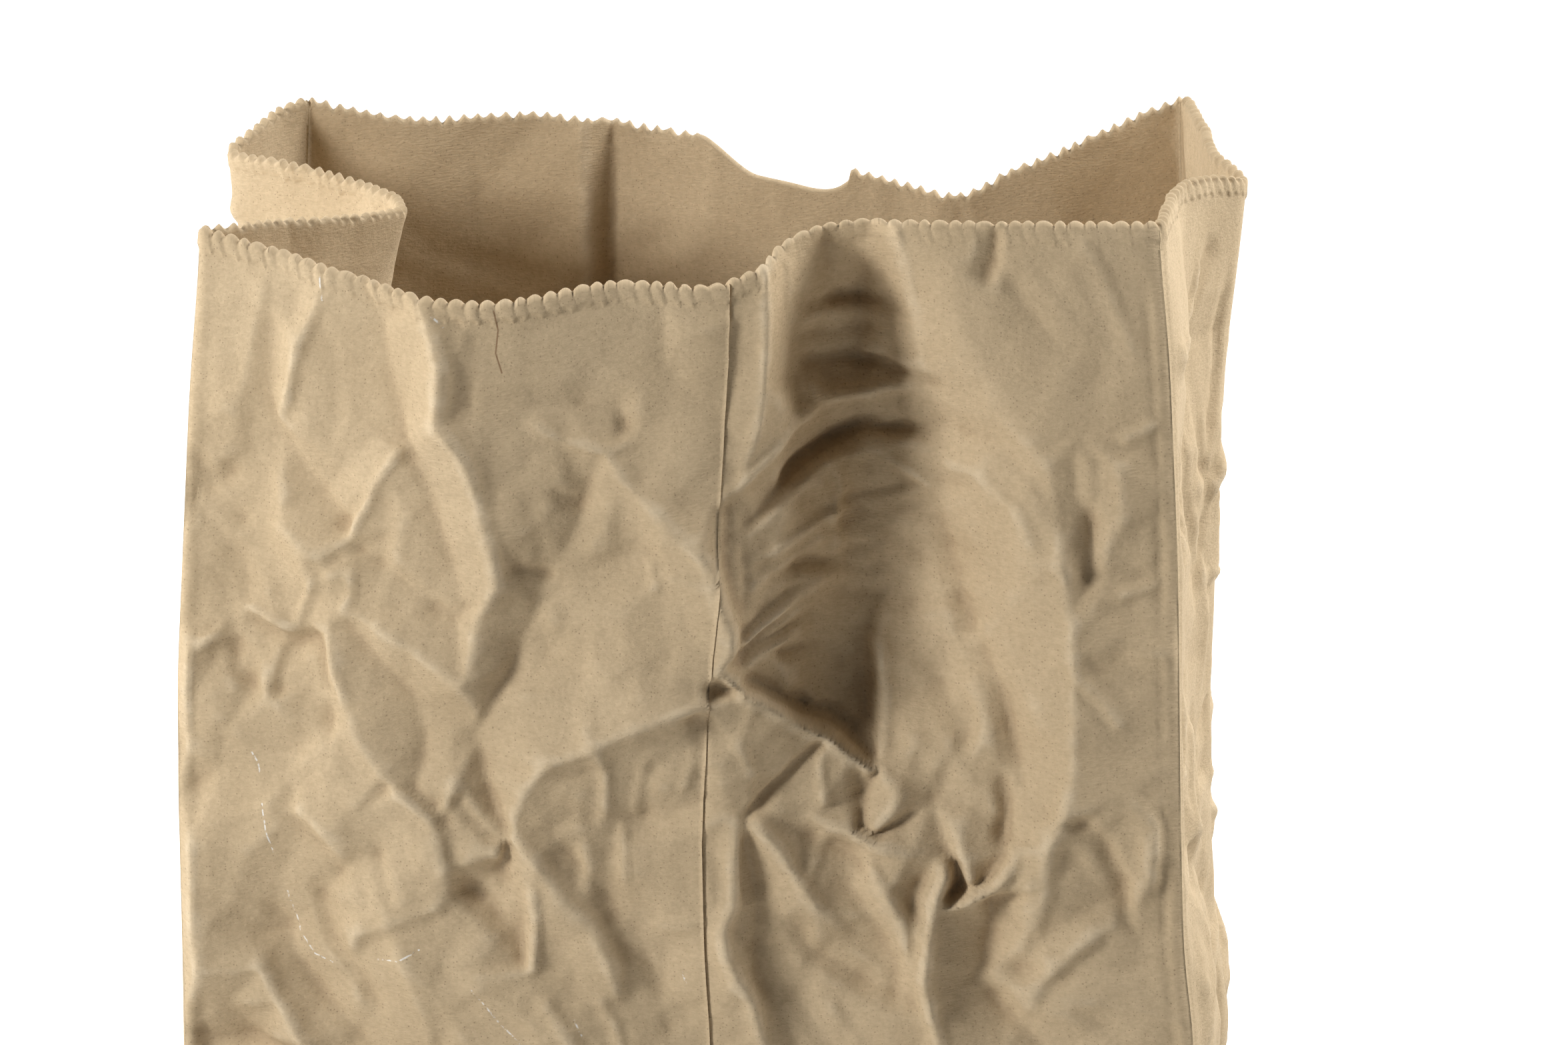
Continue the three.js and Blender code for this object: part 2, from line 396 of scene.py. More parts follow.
# The front's creases, as the sack was crumpled: a across from the middle, z up, height out of the sheet
FRONT_CREASES = [
    # the lower left leans back towards the base
    [(-125, 148, -6), (-108, 146, -6), (-94, 142, -4)],
    # upper left: a folded strip with a sharp right edge
    [(-104, 350, 2), (-108, 330, 2.5), (-110, 315, 2)],
    [(-103, 335, 1.5), (-103, 318, 1), (-99, 307, 0.5), (-90, 296, -0.5), (-80, 285, -1)],
    [(-86, 344, 2.5), (-93, 329, 3.5), (-96, 317, 3.5), (-99, 311, 2.5)],
    [(-78, 348, 0), (-72, 338, -1), (-70, 325, -1.5), (-64, 308, -0.5), (-58, 292, -1), (-53, 276, -1.5),
     (-50, 265, -1)],
    [(-62, 346, 2), (-57.5, 338, 4.5), (-55, 329, 5.5), (-55.5, 315, 5.5), (-49, 304, 5),
     (-46, 296, 4.5), (-43, 284, 4.5), (-42, 273, 4), (-46, 265, 2.5)],
    [(-49, 338, 2), (-49, 320, 2), (-43, 308, 2)],
    [(-66, 305, 1.5), (-72, 295, 2), (-79, 282, 1.5)],
    [(-77, 279, -1), (-70, 274, -1), (-60, 268, -1.5), (-52, 263, -1.5)],
    [(-75, 262, 2.5), (-62, 255, 3), (-50, 246, 3.5)],
    # left edge
    [(-125, 303, 0), (-118, 294, -1.5), (-108, 282, -0.5)],
    [(-122, 287, -1.5), (-112, 276, -1.5), (-108, 268, -1.5), (-107, 262, -1)],
    [(-98, 283, 2.5), (-90, 277, 3.5), (-84, 272, 3)],
    [(-86, 274, 2), (-90, 264, 1.5)],
    # the pinch, with folds running out below its lip
    [(-107, 261.5, 1), (-100, 258.8, 1.6), (-94, 256.8, 1.8), (-90, 258.5, 1.6), (-83, 261, 2.6)],
    [(-105, 257.5, -0.6), (-99, 254.5, -0.8), (-92, 253, -0.8), (-87, 255.5, -0.2)],
    [(-110, 254, 0.2), (-115, 247, 0.6)],
    [(-104, 252, 0.2), (-101, 240, 0.9)],
    [(-107, 250, -0.8), (-104, 241, -0.3)],
    [(-90.5, 252, 0.4), (-90, 242, 1.6)],
    [(-95.5, 251, -0.8), (-97, 240, 0.2)],
    [(-85.5, 252, 0), (-84, 243, 1)],
    # the long curved fold and the belly left of it
    [(-84, 257, 3), (-82, 250, 4), (-79, 241, 4.5), (-75, 231, 4.5), (-69, 222, 4), (-66, 217, 3)],
    [(-79, 259.5, 0.5), (-71, 250.5, -1), (-62, 241, -2), (-60, 232, -2.5), (-60.5, 224, -1.5),
     (-62.5, 218, 0.5)],
    [(-121, 250, 4), (-121, 225, 5)],
    [(-110, 240, 2), (-112, 228, 2)],
    [(-98, 238, 2.5), (-92, 225, 2.5)],
    # lower left
    [(-92, 222, 3), (-90, 214, 3)],
    [(-95, 210, 2.5), (-86, 206, 3), (-79, 203, 2.5)],
    [(-93, 205, 1), (-86, 200, 0.5), (-80, 196, 0), (-86, 190, 0.5), (-89, 185, 0), (-86, 176, -0.5),
     (-79, 168, -1), (-74, 159, -0.5)],
    [(-108, 175, 2.5), (-104, 167, 3.5), (-100, 158, 4), (-94, 148, 4), (-88, 138, 3)],
    [(-100, 176, -0.5), (-96, 169, -2), (-90, 160, -3), (-80, 150, -3), (-72, 140, -2)],
    [(-121, 198, 4), (-121, 180, 5), (-120, 165, 5)],
    [(-112, 192, 2), (-104, 184, 0.5), (-98, 178, -1.5)],
    [(-70, 186, 3.5), (-66, 172, 3.5), (-62, 158, 3.5), (-60, 145, 3)],
    # the star left of the seam and what runs out of it
    [(-68, 219, 1.5), (-64, 217, 3), (-58, 211.5, 3.5), (-55.5, 205, 3.5), (-54.5, 197, 3.5),
     (-54, 190, 2.5)],
    [(-52.5, 220, 1.5), (-56, 212, 2)],
    [(-52, 218, 2), (-48, 209, 1.5), (-42.5, 203, 2.5)],
    [(-47, 230, -2), (-45, 221, -2.5), (-43, 213, -2), (-40.5, 208.5, -0.5)],
    [(-31, 226, 4), (-36, 219, 3.5), (-39, 211, 2)],
    [(-31, 226, 5), (-20, 231, 6), (-10, 236, 6.5), (0, 239, 6.5), (8, 241, 5.5)],
    [(-8, 244, 5.8), (0, 246, 5.8), (7, 247, 5.6)],
    [(-24, 212, 0.5), (-12, 210, 0), (0, 212, -0.5), (8, 216, -0.5)],
    [(-30, 208, 0.5), (-22, 198, 0.5), (-16, 188, 0), (-11, 175, -0.5)],
    [(-22, 210, 1), (-21, 200, 1.5), (-20, 192, 1)],
    [(-10, 182, -0.5), (-6, 170, -0.8), (-3, 155, -1)],
    [(-39, 206.5, 2.5), (-33, 199, 3.5), (-28, 190, 3.5), (-20, 181, 3), (-16, 172, 3), (-15, 165, 2)],
    [(-40.5, 205, -1), (-41.5, 198, -1.5), (-41, 191, -0.5)],
    [(-36, 197, 2.5), (-35, 189, 3), (-35, 180, 3), (-36, 171, 2.5)],
    [(-38, 190, 0.5), (-38, 180, 0), (-37.5, 173, 0)],
    [(-50, 191, 0), (-44, 185, -0.5), (-40, 182, 0)],
    [(-46, 180, 2), (-54, 170, 2.5), (-60, 162, 3)],
    [(-15, 160, 1.5), (-12, 152, 2), (-11, 145, 2)],
    [(-34, 168, 2), (-30, 158, 3), (-26, 148, 3)],
    # the belly left of the seam
    [(-16, 306, 2.5), (-13, 301, 3), (-8, 296, 3), (-3, 291, 3.5), (1, 284, 4.5), (6, 281, 5.5),
     (9.5, 275, 6), (10.5, 267, 6.5), (13, 260, 6.5), (13.5, 255, 6), (11, 250, 5)],
    [(12, 290, -0.5), (12, 282, 0), (12.5, 275, 1), (14, 268, 1.5), (16, 262, 1.5), (16.5, 256, 1.5)],
    [(-17.5, 305, 1), (-20, 296, 0), (-22, 288, 0), (-26, 279, 0.5), (-32, 266, 0), (-36, 255, -1.5),
     (-40, 246, -2.5), (-46, 235, -2.5)],
    [(-38, 277, 0.5), (-31, 275, -1), (-27, 273, -0.5)],
    # shallow patch with a raised lower lip
    [(-36, 324, 0.6), (-24, 325, 0.6), (-12, 324, 0.4)],
    [(-33, 319, -0.3), (-24, 318, -0.8), (-13, 317, -1.0), (-11, 312, -1.0)],
    [(-8, 322, 0.4), (-7.6, 311, 0.6)],
    [(-2, 343, -0.8), (-2, 328, -0.8)],
    # the deep trough right of the seam with its cross rolls
    [(23, 350, 4), (23, 338, 4.5), (22, 322, 4.5), (20, 310, 4)],
    [(16, 340, 1.5), (15.5, 325, 1), (13, 312, 0.5)],
    [(32, 353, -2), (32, 342, -3), (32, 331, -4)],
    [(44, 354, -9), (45, 345, -11), (47, 338, -13)],
    [(40, 337, -11), (47, 338, -13), (55, 337, -10)],
    [(60, 357, -1), (62, 345, -1.5), (63, 333, -2), (64, 322, -2)],
    [(53, 352, -8), (54, 343, -10)],
    [(37, 333, -8), (44, 334, -10), (52, 333, -9.5)],
    [(40, 322, -12), (50, 321, -12.5), (58, 319, -9)],
    [(51, 327, -9.5), (56, 324, -7.5), (61, 319, -5)],
    [(37, 319, -8), (42, 315, -6.5), (46, 313, -5.5), (51, 313, -6), (60, 315, -3.5)],
    [(45, 312, -5), (36, 309, -3), (26, 303, -0.5), (16, 296, 1), (9, 291, 1.5)],
    [(62, 304, -4), (55, 303.5, -9), (50, 302.5, -11.5), (44, 299.5, -13), (38, 296.5, -11),
     (30, 291.5, -7), (22, 286.5, -3), (15, 283, -1)],
    [(58, 299, -5.5), (50, 297.5, -6.5), (44, 297, -6.5), (36, 292.5, -4.5), (28, 288.5, -2),
     (20, 283, -0.5)],
    [(44, 296.5, -6), (45, 289, -5.5), (45, 283, -5), (43, 277, -5)],
    [(48, 284, -8), (55, 286, -7.5), (62, 288, -5.5)],
    [(20, 276, -1), (30, 279, -3), (40, 281, -4.5)],
    [(26, 272, -4), (35, 273, -6.5), (43, 271, -7)],
    [(16, 254, 0), (25, 259.5, -2), (33, 263, -3.5), (43, 267, -5)],
    [(17, 256.5, -2), (24, 261.5, -4), (32, 266, -6)],
    [(17, 251, -2.5), (22, 254, -4), (30, 256, -6), (38, 258, -7)],
    [(17, 248, 0), (24, 252, -1.5), (31, 254, -3)],
    # right of the trough
    [(64, 289, -4.5), (67, 279, -5.5), (70, 268, -6), (75, 256, -6), (80, 246, -6), (83.5, 236, -5.5),
     (85.5, 226, -5), (87, 217, -4)],
    [(95, 300, 2), (97, 280, 3), (99.5, 262, 4), (100, 240, 4.5), (99.5, 222, 4), (97, 211, 3.5),
     (93, 203, 2.5), (92, 192, 2), (91, 180, 1), (88, 170, 0)],
    [(107, 300, 0), (105, 286, -0.5), (103, 272, 0.5)],
    [(112, 300, 2), (112, 285, 2)],
    [(106, 356, 0.5), (109, 349, 0), (114, 338, 0), (118, 326, 0), (119.5, 320, 0.3)],
    [(98, 338, 0), (104, 330, -0.3), (106, 321, 0)],
    [(83, 358, -0.5), (84, 350, -1.2), (86, 342, 0)],
    [(62, 303, -4), (72, 305, -2), (84, 305, -1), (90, 303, 0)],
    # the hollow right of the seam, behind a sharp lip
    [(17, 243, 2.5), (24, 239, 2), (32, 233.5, 1.5), (40, 229, 1), (46, 224, 0.5), (51, 220, 0)],
    [(20, 245, -3), (28, 240, -7), (36, 235, -9.5), (42, 232, -11), (47, 227.5, -10), (51, 222.5, -6)],
    [(30, 250, -7), (40, 250, -9), (50, 250, -8), (50, 240, -11), (50.5, 230, -10)],
    [(53, 250, -4), (54, 238, -4.5), (53.5, 226, -4), (52, 221, -2)],
    [(29, 249, -4.5), (32.5, 244, -5), (31, 240, -6)],
    [(37, 240, -7.5), (38.5, 233, -8)],
    [(11, 249, 5), (14.5, 246, 4), (17, 243, 2.5)],
    [(9.5, 245, 1.5), (13, 244.5, 1), (15.5, 245, 1)],
    [(60, 245, -4.5), (66, 232, -3.5), (71, 222, -2.5)],
    [(66, 243, -5.5), (72, 232, -5), (74, 222, -4)],
    [(74, 240, -4), (78, 228, -3)],
    [(71, 222, -4), (70, 216, -4), (65, 212, -4)],
    [(52, 219, -3), (49, 214, -3.5), (48, 208, -2.5)],
    [(53, 219, -0.5), (57, 215, 0.5), (56, 210, 0.5), (51, 205, 0.5)],
    [(47, 206, -2.5), (52, 204, -2), (57, 207, -2)],
    [(39, 227, -1), (30, 220, -1.5), (22, 214, -1.5), (18, 211, -0.5)],
    [(14, 232, 2), (19, 221, 2)],
    [(5, 238, 2.5), (5.3, 228, 2), (3, 220, 1.5)],
    # the long dark wedge beside the seam
    [(15.5, 209.5, 1.5), (14.5, 198, 2.5), (14, 190, 3), (11, 182, 3.5), (11.5, 174, 3.5), (15, 168, 3),
     (18, 158, 3), (20, 149, 3)],
    [(17.5, 205, -1), (20, 195, -2), (21, 186, -2.5), (20, 176, -2.5), (20, 168, -1), (24, 158, -1),
     (28, 148, -1)],
    [(18.5, 209.5, 1.5), (26, 203, 2), (30, 195, 2.5), (36, 186, 2.5)],
    [(31, 180, 0), (35, 173, -0.5), (42, 169, -0.5), (47, 166, -0.5)],
    [(36, 209.5, 0.5), (45, 206, 1.5), (52, 202, 2), (60, 200, 2)],
    [(24, 210, -0.5), (34, 204, -1), (44, 200, -1.5), (48, 196, -1)],
    [(49, 198, 1), (54, 190, 2.5), (59, 181, 3.5)],
    [(44, 190, -1), (50, 182, -1), (55, 172, -1), (54, 163, -1)],
    # the pocket lower right
    [(69, 195, 1), (66, 188, 3), (64, 178, 4), (62, 166, 4.5), (63, 157, 4.5), (65, 149, 4.5)],
    [(68, 200, -2.5), (70, 195, -4), (71.5, 190, -4.5), (69, 187, -3)],
    [(71, 205, 0), (73, 198, 1), (74, 192, 1.5)],
    [(69, 186, 2.5), (74, 187.5, 3), (79, 190.5, 3), (84, 197, 2), (85, 201, 1)],
    [(73, 190, -1), (79, 194, -1.5), (83, 200, -1)],
    [(65, 197, -1), (61, 191, -1.5), (59.5, 186, -0.5)],
    [(79, 187, -2), (78, 178, -4), (76, 170, -4), (74, 166, -3)],
    [(83, 220, -4.5), (84, 212, -4.5), (83, 203, -3)],
    [(108, 182, 1.5), (98, 174, 2), (92, 169, 2.5), (86, 164, 2.5)],
    [(88, 163, 2), (100, 162, 2.5), (112, 160, 2), (122, 157, 1)],
    [(75, 166, -3), (80, 158, -3.5), (88, 150, -3)],
    [(104, 250, 2.5), (110, 246, 2), (114, 238, 1.5), (114, 225, 1.5), (112, 212, 2)],
    [(107, 202, 0), (111, 192, -0.5), (112, 181, -0.5), (115, 176, 0)],
    [(120, 214, 1.5), (115, 207, 2), (117, 200, 1.5), (118, 190, 1)],
]

# Sharp folds on top of the front's creases: height, reach to the left and to the right of a line drawn
# downwards (below and above a line drawn to the right), and its points. Negative heights are valleys.
FRONT_FOLDS = [
    # upper left
    (1.2, 6, 2.5, [(-88, 346), (-90, 339), (-94, 329), (-96, 316), (-99, 312)]),
    (2.0, 10, 3.5, [(-60, 343), (-56, 333), (-55, 329), (-56, 315), (-50, 307), (-47, 295), (-44, 279),
     (-43, 273)]),
    (0.8, 2, 1.5, [(-63, 309), (-70, 299), (-74, 291), (-80, 281)]),
    (-1.2, 7, 4, [(-101, 309), (-92, 295), (-84, 287), (-78, 280)]),
    (-0.9, 5, 4, [(-75, 277), (-69, 275), (-60, 267), (-54, 263)]),
    (-1.2, 4, 4, [(-125, 300), (-117, 292), (-110, 297)]),
    (-1.2, 4, 3, [(-122, 292), (-107, 281)]),
    (-2.0, 3, 4, [(-124, 294), (-125, 280)]),
    (-0.8, 2.5, 2.5, [(-90, 275), (-86, 273), (-80, 278)]),
    (0.8, 2, 2, [(-78, 275), (-78, 267), (-81, 262)]),
    # the pinch and its hanging folds
    (0.9, 2, 2, [(-107, 262), (-101, 259), (-93, 256.5)]),
    (0.9, 2, 2, [(-88, 271), (-93, 258)]),
    (1.0, 4, 2.5, [(-97, 254), (-101, 238)]),
    (1.0, 4, 4, [(-88, 253), (-84, 237)]),
    (0.8, 2, 2, [(-119, 249), (-112, 257)]),
    (-1.2, 3, 3, [(-110, 254), (-109, 245), (-104, 240)]),
    (-1.0, 4, 6, [(-119, 245), (-121, 225), (-119, 205)]),
    # lower left
    (1.4, 4, 7, [(-95, 212), (-87, 208), (-79, 197)]),
    (-1.2, 5, 5, [(-80, 196), (-90, 185)]),
    (-1.5, 8, 8, [(-125, 190), (-113, 184), (-104, 176), (-94, 177)]),
    (-1.5, 3, 6, [(-89, 188), (-86, 176), (-79, 167), (-73, 156)]),
    (1.2, 3, 6, [(-82, 171), (-78, 178), (-68, 183), (-58, 187), (-54, 193)]),
    (-0.9, 3, 3, [(-72, 205), (-70, 195), (-68, 186)]),
    (1.5, 8, 2.5, [(-69, 220), (-64, 217), (-58, 211), (-56, 206), (-55, 198), (-54, 193)]),
    (0.9, 1.8, 1.8, [(-52, 220), (-56, 211)]),
    (-1.5, 2.5, 2.5, [(-53, 219), (-49, 211), (-42, 204)]),
    (-0.9, 4, 4, [(-54, 195), (-44, 186), (-38, 176)]),
    (1.2, 6, 6, [(-70, 176), (-62, 168), (-56, 158), (-50, 148)]),
    # the star, the brow and what hangs below
    (0.9, 1.5, 1.5, [(-40, 207), (-43, 200)]),
    (1.8, 9, 3.5, [(-39, 208), (-32, 199), (-27, 191), (-20, 183), (-16, 173), (-15, 162)]),
    (1.3, 2, 2, [(-35, 195), (-34, 185), (-35, 170)]),
    (1.8, 6, 12, [(-35, 221), (-30, 227), (-19, 231), (-7, 237), (3, 240), (10, 245)]),
    (0.8, 2, 2, [(-18, 231), (-16, 224), (-16, 210)]),
    (0.6, 1.8, 1.8, [(-6, 228), (-8, 220), (-9, 210)]),
    (0.6, 1.5, 1.5, [(5, 239), (5, 226), (2, 216)]),
    (0.7, 1.8, 1.8, [(-12, 211), (-12, 192)]),
    (1.1, 3, 4.5, [(-21, 206), (-21, 190)]),
    (1.1, 4, 3, [(-34, 165), (-29, 156), (-24, 147)]),
    (0.9, 3, 2, [(-20, 165), (-16, 156), (-14, 147)]),
    # right of the seam, below
    (1.6, 4, 2.5, [(15, 210), (14, 201), (14, 188), (11, 181), (12, 174), (14, 169), (18, 163), (19, 150)]),
    (1.3, 9, 3, [(19, 211), (25, 202), (30, 195), (36, 186), (45, 176)]),
    (-1.4, 3, 2, [(15, 208), (21, 213), (33, 224), (41, 230)]),
    (0.7, 1.8, 1.8, [(14, 233), (20, 221)]),
    (-1.6, 4, 5, [(28, 184), (32, 179), (35, 173), (42, 169), (51, 163)]),
    (1.2, 3, 2.5, [(33, 210), (44, 205), (51, 201), (60, 199)]),
    (0.7, 1.8, 2, [(39, 227), (38, 222), (39, 211)]),
    (1.6, 6, 2.5, [(48, 198), (54, 188), (58, 178), (58, 167)]),
    (1.8, 4, 2.5, [(69, 195), (65, 187), (64, 180), (62, 168), (63, 157), (65, 148)]),
    (0.8, 3, 2.5, [(33, 192), (36, 198), (40, 206)]),
    (1.7, 2, 5, [(66, 185.5), (72, 187.5), (79, 190), (85, 197)]),
    (-1.2, 2.5, 2.5, [(70, 198), (71, 191), (68, 187)]),
    (1.4, 6, 4, [(98, 213), (93, 201), (92, 191), (88, 180), (80, 170), (75, 165)]),
    (1.4, 3, 6, [(84, 158), (91, 168), (100, 177), (107, 182)]),
    (-1.2, 4, 3, [(98, 212), (106, 204), (111, 193), (111, 182)]),
    (1.2, 4, 3, [(112, 217), (119, 208), (118, 195), (113, 187)]),
    (-0.8, 3, 3, [(90, 212), (100, 208), (110, 214)]),
    (-1.0, 3, 3, [(47, 221), (48, 214), (47, 207)]),
    (-0.9, 3, 3, [(72, 241), (76, 231), (70, 222), (65, 212)]),
    (-1.5, 3, 3, [(82, 220), (83, 210), (81, 201)]),
    (-1.6, 10, 12, [(66, 158), (80, 163), (96, 160), (112, 152)]),
    # the trough's cross folds
    (0.5, 1.8, 3, [(33, 352), (33.3, 338)]),
    (1.2, 3, 2, [(53, 355), (54, 344), (55, 337)]),
    (-1.6, 2, 3, [(43, 337), (55, 337.5)]),
    (-1.5, 4, 4, [(36, 330), (46, 328), (56, 331)]),
    (1.4, 2.5, 3, [(38, 318), (44, 312.5), (52, 313), (57, 317)]),
    (-1.8, 2, 2, [(50, 319), (56, 322), (62, 318)]),
    (1.3, 1.8, 1.8, [(51, 325), (56, 322.5), (62, 320)]),
    (1.4, 3, 3, [(14, 294), (24, 302), (34, 309), (44, 313.5)]),
    (-3.0, 2.5, 4, [(30, 293), (38, 298), (46, 301.5), (53, 304), (66, 303)]),
    (1.5, 1.5, 1.5, [(48, 301), (58, 306)]),
    (1.2, 1.8, 1.8, [(44, 298), (46, 290), (44, 282), (45, 271)]),
    (1.5, 2, 2, [(55, 297), (66, 289)]),
    (1.3, 3.5, 1.5, [(18, 276), (30, 278.5), (44, 283.5), (56, 286.5), (66, 289)]),
    (1.0, 3, 2, [(17, 269), (30, 273), (43, 279)]),
    (-1.5, 3, 3, [(24, 270), (36, 272), (44, 270)]),
    (1.3, 2, 2, [(14, 253), (25, 260), (36, 266)]),
    (1.2, 2, 2, [(15, 251), (25, 256), (39, 262)]),
    (-1.6, 2, 2, [(16, 251.5), (24, 257), (33, 261)]),
    (1.1, 2, 2.5, [(11, 250), (17, 242), (24, 240), (33, 233.5), (42, 229), (51, 220.5)]),
    (-1.6, 5, 7, [(66, 288), (70, 273), (73, 260), (79, 247), (84, 234), (87, 220)]),
    (1.2, 3, 3, [(53, 252), (54, 238), (53, 222)]),
    # right of the trough
    (-1.5, 5, 2.5, [(85, 360), (84, 351), (81, 344)]),
    (-1.0, 9, 6, [(86, 347), (94, 336), (102, 325)]),
    (0.8, 5, 2.5, [(105, 358), (110, 349), (114, 337), (118, 325)]),
    (-1.6, 7, 4, [(101, 306), (101, 292), (105, 284), (104, 272), (99, 261)]),
    (0.9, 3, 2, [(112, 306), (122, 311)]),
    (0.8, 2, 3, [(110, 266), (122, 270)]),
    (1.0, 2, 4, [(99, 248), (107, 240), (112, 232)]),
    (-1.8, 7, 6, [(58, 304), (68, 307), (82, 304), (93, 294), (99, 280)]),
    (1.2, 5, 3, [(64, 297), (76, 296), (86, 288), (91, 276)]),
    # the bulge left of the seam and the patch above it
    (1.2, 9, 4, [(-16, 306), (-10, 297), (-1, 290), (6, 282), (10, 272), (13, 262), (13, 254), (11, 249)]),
    (-1.0, 8, 6, [(-18, 305), (-22, 290), (-30, 272), (-38, 254), (-45, 238)]),
    (-0.9, 3, 3, [(-30, 297), (-24, 293), (-20, 292)]),
    (-0.8, 3, 3, [(-39, 277), (-27, 273)]),
    (0.7, 2, 2, [(-5, 279), (-4, 270)]),
    (0.8, 1.8, 3.5, [(-36, 315), (-31, 311.5), (-26, 309), (-17, 306.5), (-9, 308)]),
    (-0.9, 2, 2.5, [(14, 292), (13, 280)]),
    (-0.9, 2, 2, [(18, 279), (18, 262)]),
]

# Where the lap's upper edge runs on the front: a, z
SEAM = [
    (13.6, 365), (13.4, 345), (12.2, 322), (10.8, 300), (9.3, 268), (8.2, 242), (6.8, 215), (6.5, 150),
    (7, 0),
]
LAP = 11.0  # how far one end of the sheet lies over the other

WIDTH = 2 * HALF_WIDTH
DEPTH = 2 * HALF_DEPTH
HEIGHT = 366.0  # of the reliefs
WALL_LENGTH = 355.0  # from the bottom fold up to the rim
SPAN = 250.0  # width over which the front's creases are measured
GUSSET_SPAN = 88
FRONT_GAIN = 1.15  # of the heights of the front's creases
TROUGH_DEPTH = 15.0


def corner(x_sign, y_sign):
    return (x_sign * HALF_WIDTH, y_sign * HALF_DEPTH, FOLD_LEVEL)


def apex(x_sign):
    return (x_sign * HALF_WIDTH, 0, HALF_DEPTH)


WALLS = {
    "front": Wall([corner(-1, -1), corner(1, -1)], RIM["front"], (0, -1, 0)),
    "back": Wall([corner(-1, 1), corner(1, 1)], RIM["back"], (0, 1, 0)),
}
for end, (side, x_sign) in enumerate(SIDES):
    for part, y_sign, neighbour in (("front", -1, "front"), ("rear", 1, "back")):
        name = f"{side}_{part}"
        WALLS[name] = Wall([corner(x_sign, y_sign), apex(x_sign)], RIM[name], (x_sign, 0, 0))
        WALLS[neighbour].join(end, WALLS[name], 0, CORNER_RADIUS)
    WALLS[f"{side}_front"].join(1, WALLS[f"{side}_rear"], 1, PLEAT_RADIUS)


def facets(shape, seed, spacing):
    """Flat facets between sharp folds: the difference of the squared distances to two sets of points."""
    rng = np.random.default_rng(seed)
    rows, columns = np.indices(shape) * (Relief.CELL / spacing)
    size = (int(rows.max()) + 6, int(columns.max()) + 6)
    heights = []
    for _ in range(2):
        points = np.stack(np.indices(size)) - 2 + rng.uniform(0, 1, (2, *size))
        closest = np.full(shape, np.inf)
        for di in range(5):
            for dj in range(5):
                near = points[:, rows.astype(int) + di, columns.astype(int) + dj]
                closest = np.minimum(closest, (near[0] - rows) ** 2 + (near[1] - columns) ** 2)
        heights.append(closest)
    return heights[0] - heights[1]


def crumple(relief, seed, amounts, shares=1.0):
    """Adds facets of several sizes: (spacing, height) pairs in mm."""
    for k, (spacing, height) in enumerate(amounts):
        relief.grid += blurred(facets(relief.grid.shape, seed + k, spacing) * height * shares, 0.7)


BACK_CREASES = [
    # a soft stand of the paper towards the inside, left of the thumb notch
    [(-48, 352, -3.5), (-47, 330, -4), (-46, 300, -3.5), (-45, 260, -1.5)],
    [(-41, 352, 2), (-40.5, 325, 2.5), (-40, 295, 2), (-39, 260, 0.5)],
    [(-80, 352, 0.5), (-78, 320, 0.5), (-76, 290, 0)],
    [(-12, 352, 0), (-12, 320, 0), (-12, 290, 0)],
    [(40, 342, 0.5), (42, 310, 1), (44, 280, 0.5)],
    [(84, 345, -1), (82, 320, -1.2), (80, 290, -0.5)],
]


def build_front():
    creases = [[(a, z, h * FRONT_GAIN) for a, z, h in crease] for crease in FRONT_CREASES]
    front = Relief(SPAN, HEIGHT, creases, blur=0.5)
    z, place = np.indices(front.grid.shape) * Relief.CELL
    channel = trough(place - SPAN / 2, z)
    front.grid += channel
    add_folds(front, FRONT_FOLDS)
    crumple(front, 150, [(12, 1.2), (6.5, 0.6)], np.clip(-channel / 9, 0, 1))
    return front


def build_reliefs():
    """Each wall's relief: its own creases, then crumple that calms towards the rim, and scattered folds."""
    reliefs = {"front": build_front(), "back": Relief(SPAN, HEIGHT, BACK_CREASES)}
    reliefs.update({name: Relief(GUSSET_SPAN, HEIGHT, []) for name in WALLS if name not in reliefs})
    for k, (name, relief) in enumerate(reliefs.items()):
        heights = np.arange(relief.grid.shape[0])[:, None] * Relief.CELL
        low_part = 1 - smooth((heights - 120) / 40)
        calm_top = 1 - smooth((heights - 250) / 90)
        if name == "front":
            crumple(relief, 100, [(44, 8.0)], low_part)
            crumple(relief, 110, [(23, 2.4), (11, 0.6)], 0.4 + 0.6 * calm_top)
            scatter_folds(relief, seed=160, count=75, low=4, high=135, strength=1.0)
            scatter_folds(relief, seed=161, count=90, low=140, high=335, strength=0.32)
        elif name == "back":
            crumple(relief, 120, [(46, 8.0), (20, 1.4)], 0.25 + 0.75 * calm_top)
            scatter_folds(relief, seed=162, count=150, low=4, high=300, strength=0.9)
        else:
            crumple(relief, 130 + 10 * k, [(40, 6.0), (17, 1.0)], 0.5 + 0.5 * calm_top)
            scatter_folds(relief, seed=170 + k, count=55, low=4, high=330, strength=0.9)
        relief.sharpen()
        relief.mark_folds()
    return reliefs


def around(relief, points, reach):
    """The part of a relief's grid that holds some points and what lies within reach of them."""
    low, high = points.min(0) - reach, points.max(0) + reach
    starts = (low[1], low[0] + relief.width / 2)
    ends = (high[1], high[0] + relief.width / 2)
    cell = Relief.CELL
    return tuple(slice(max(0, int(a / cell)), int(b / cell) + 1) for a, b in zip(starts, ends))


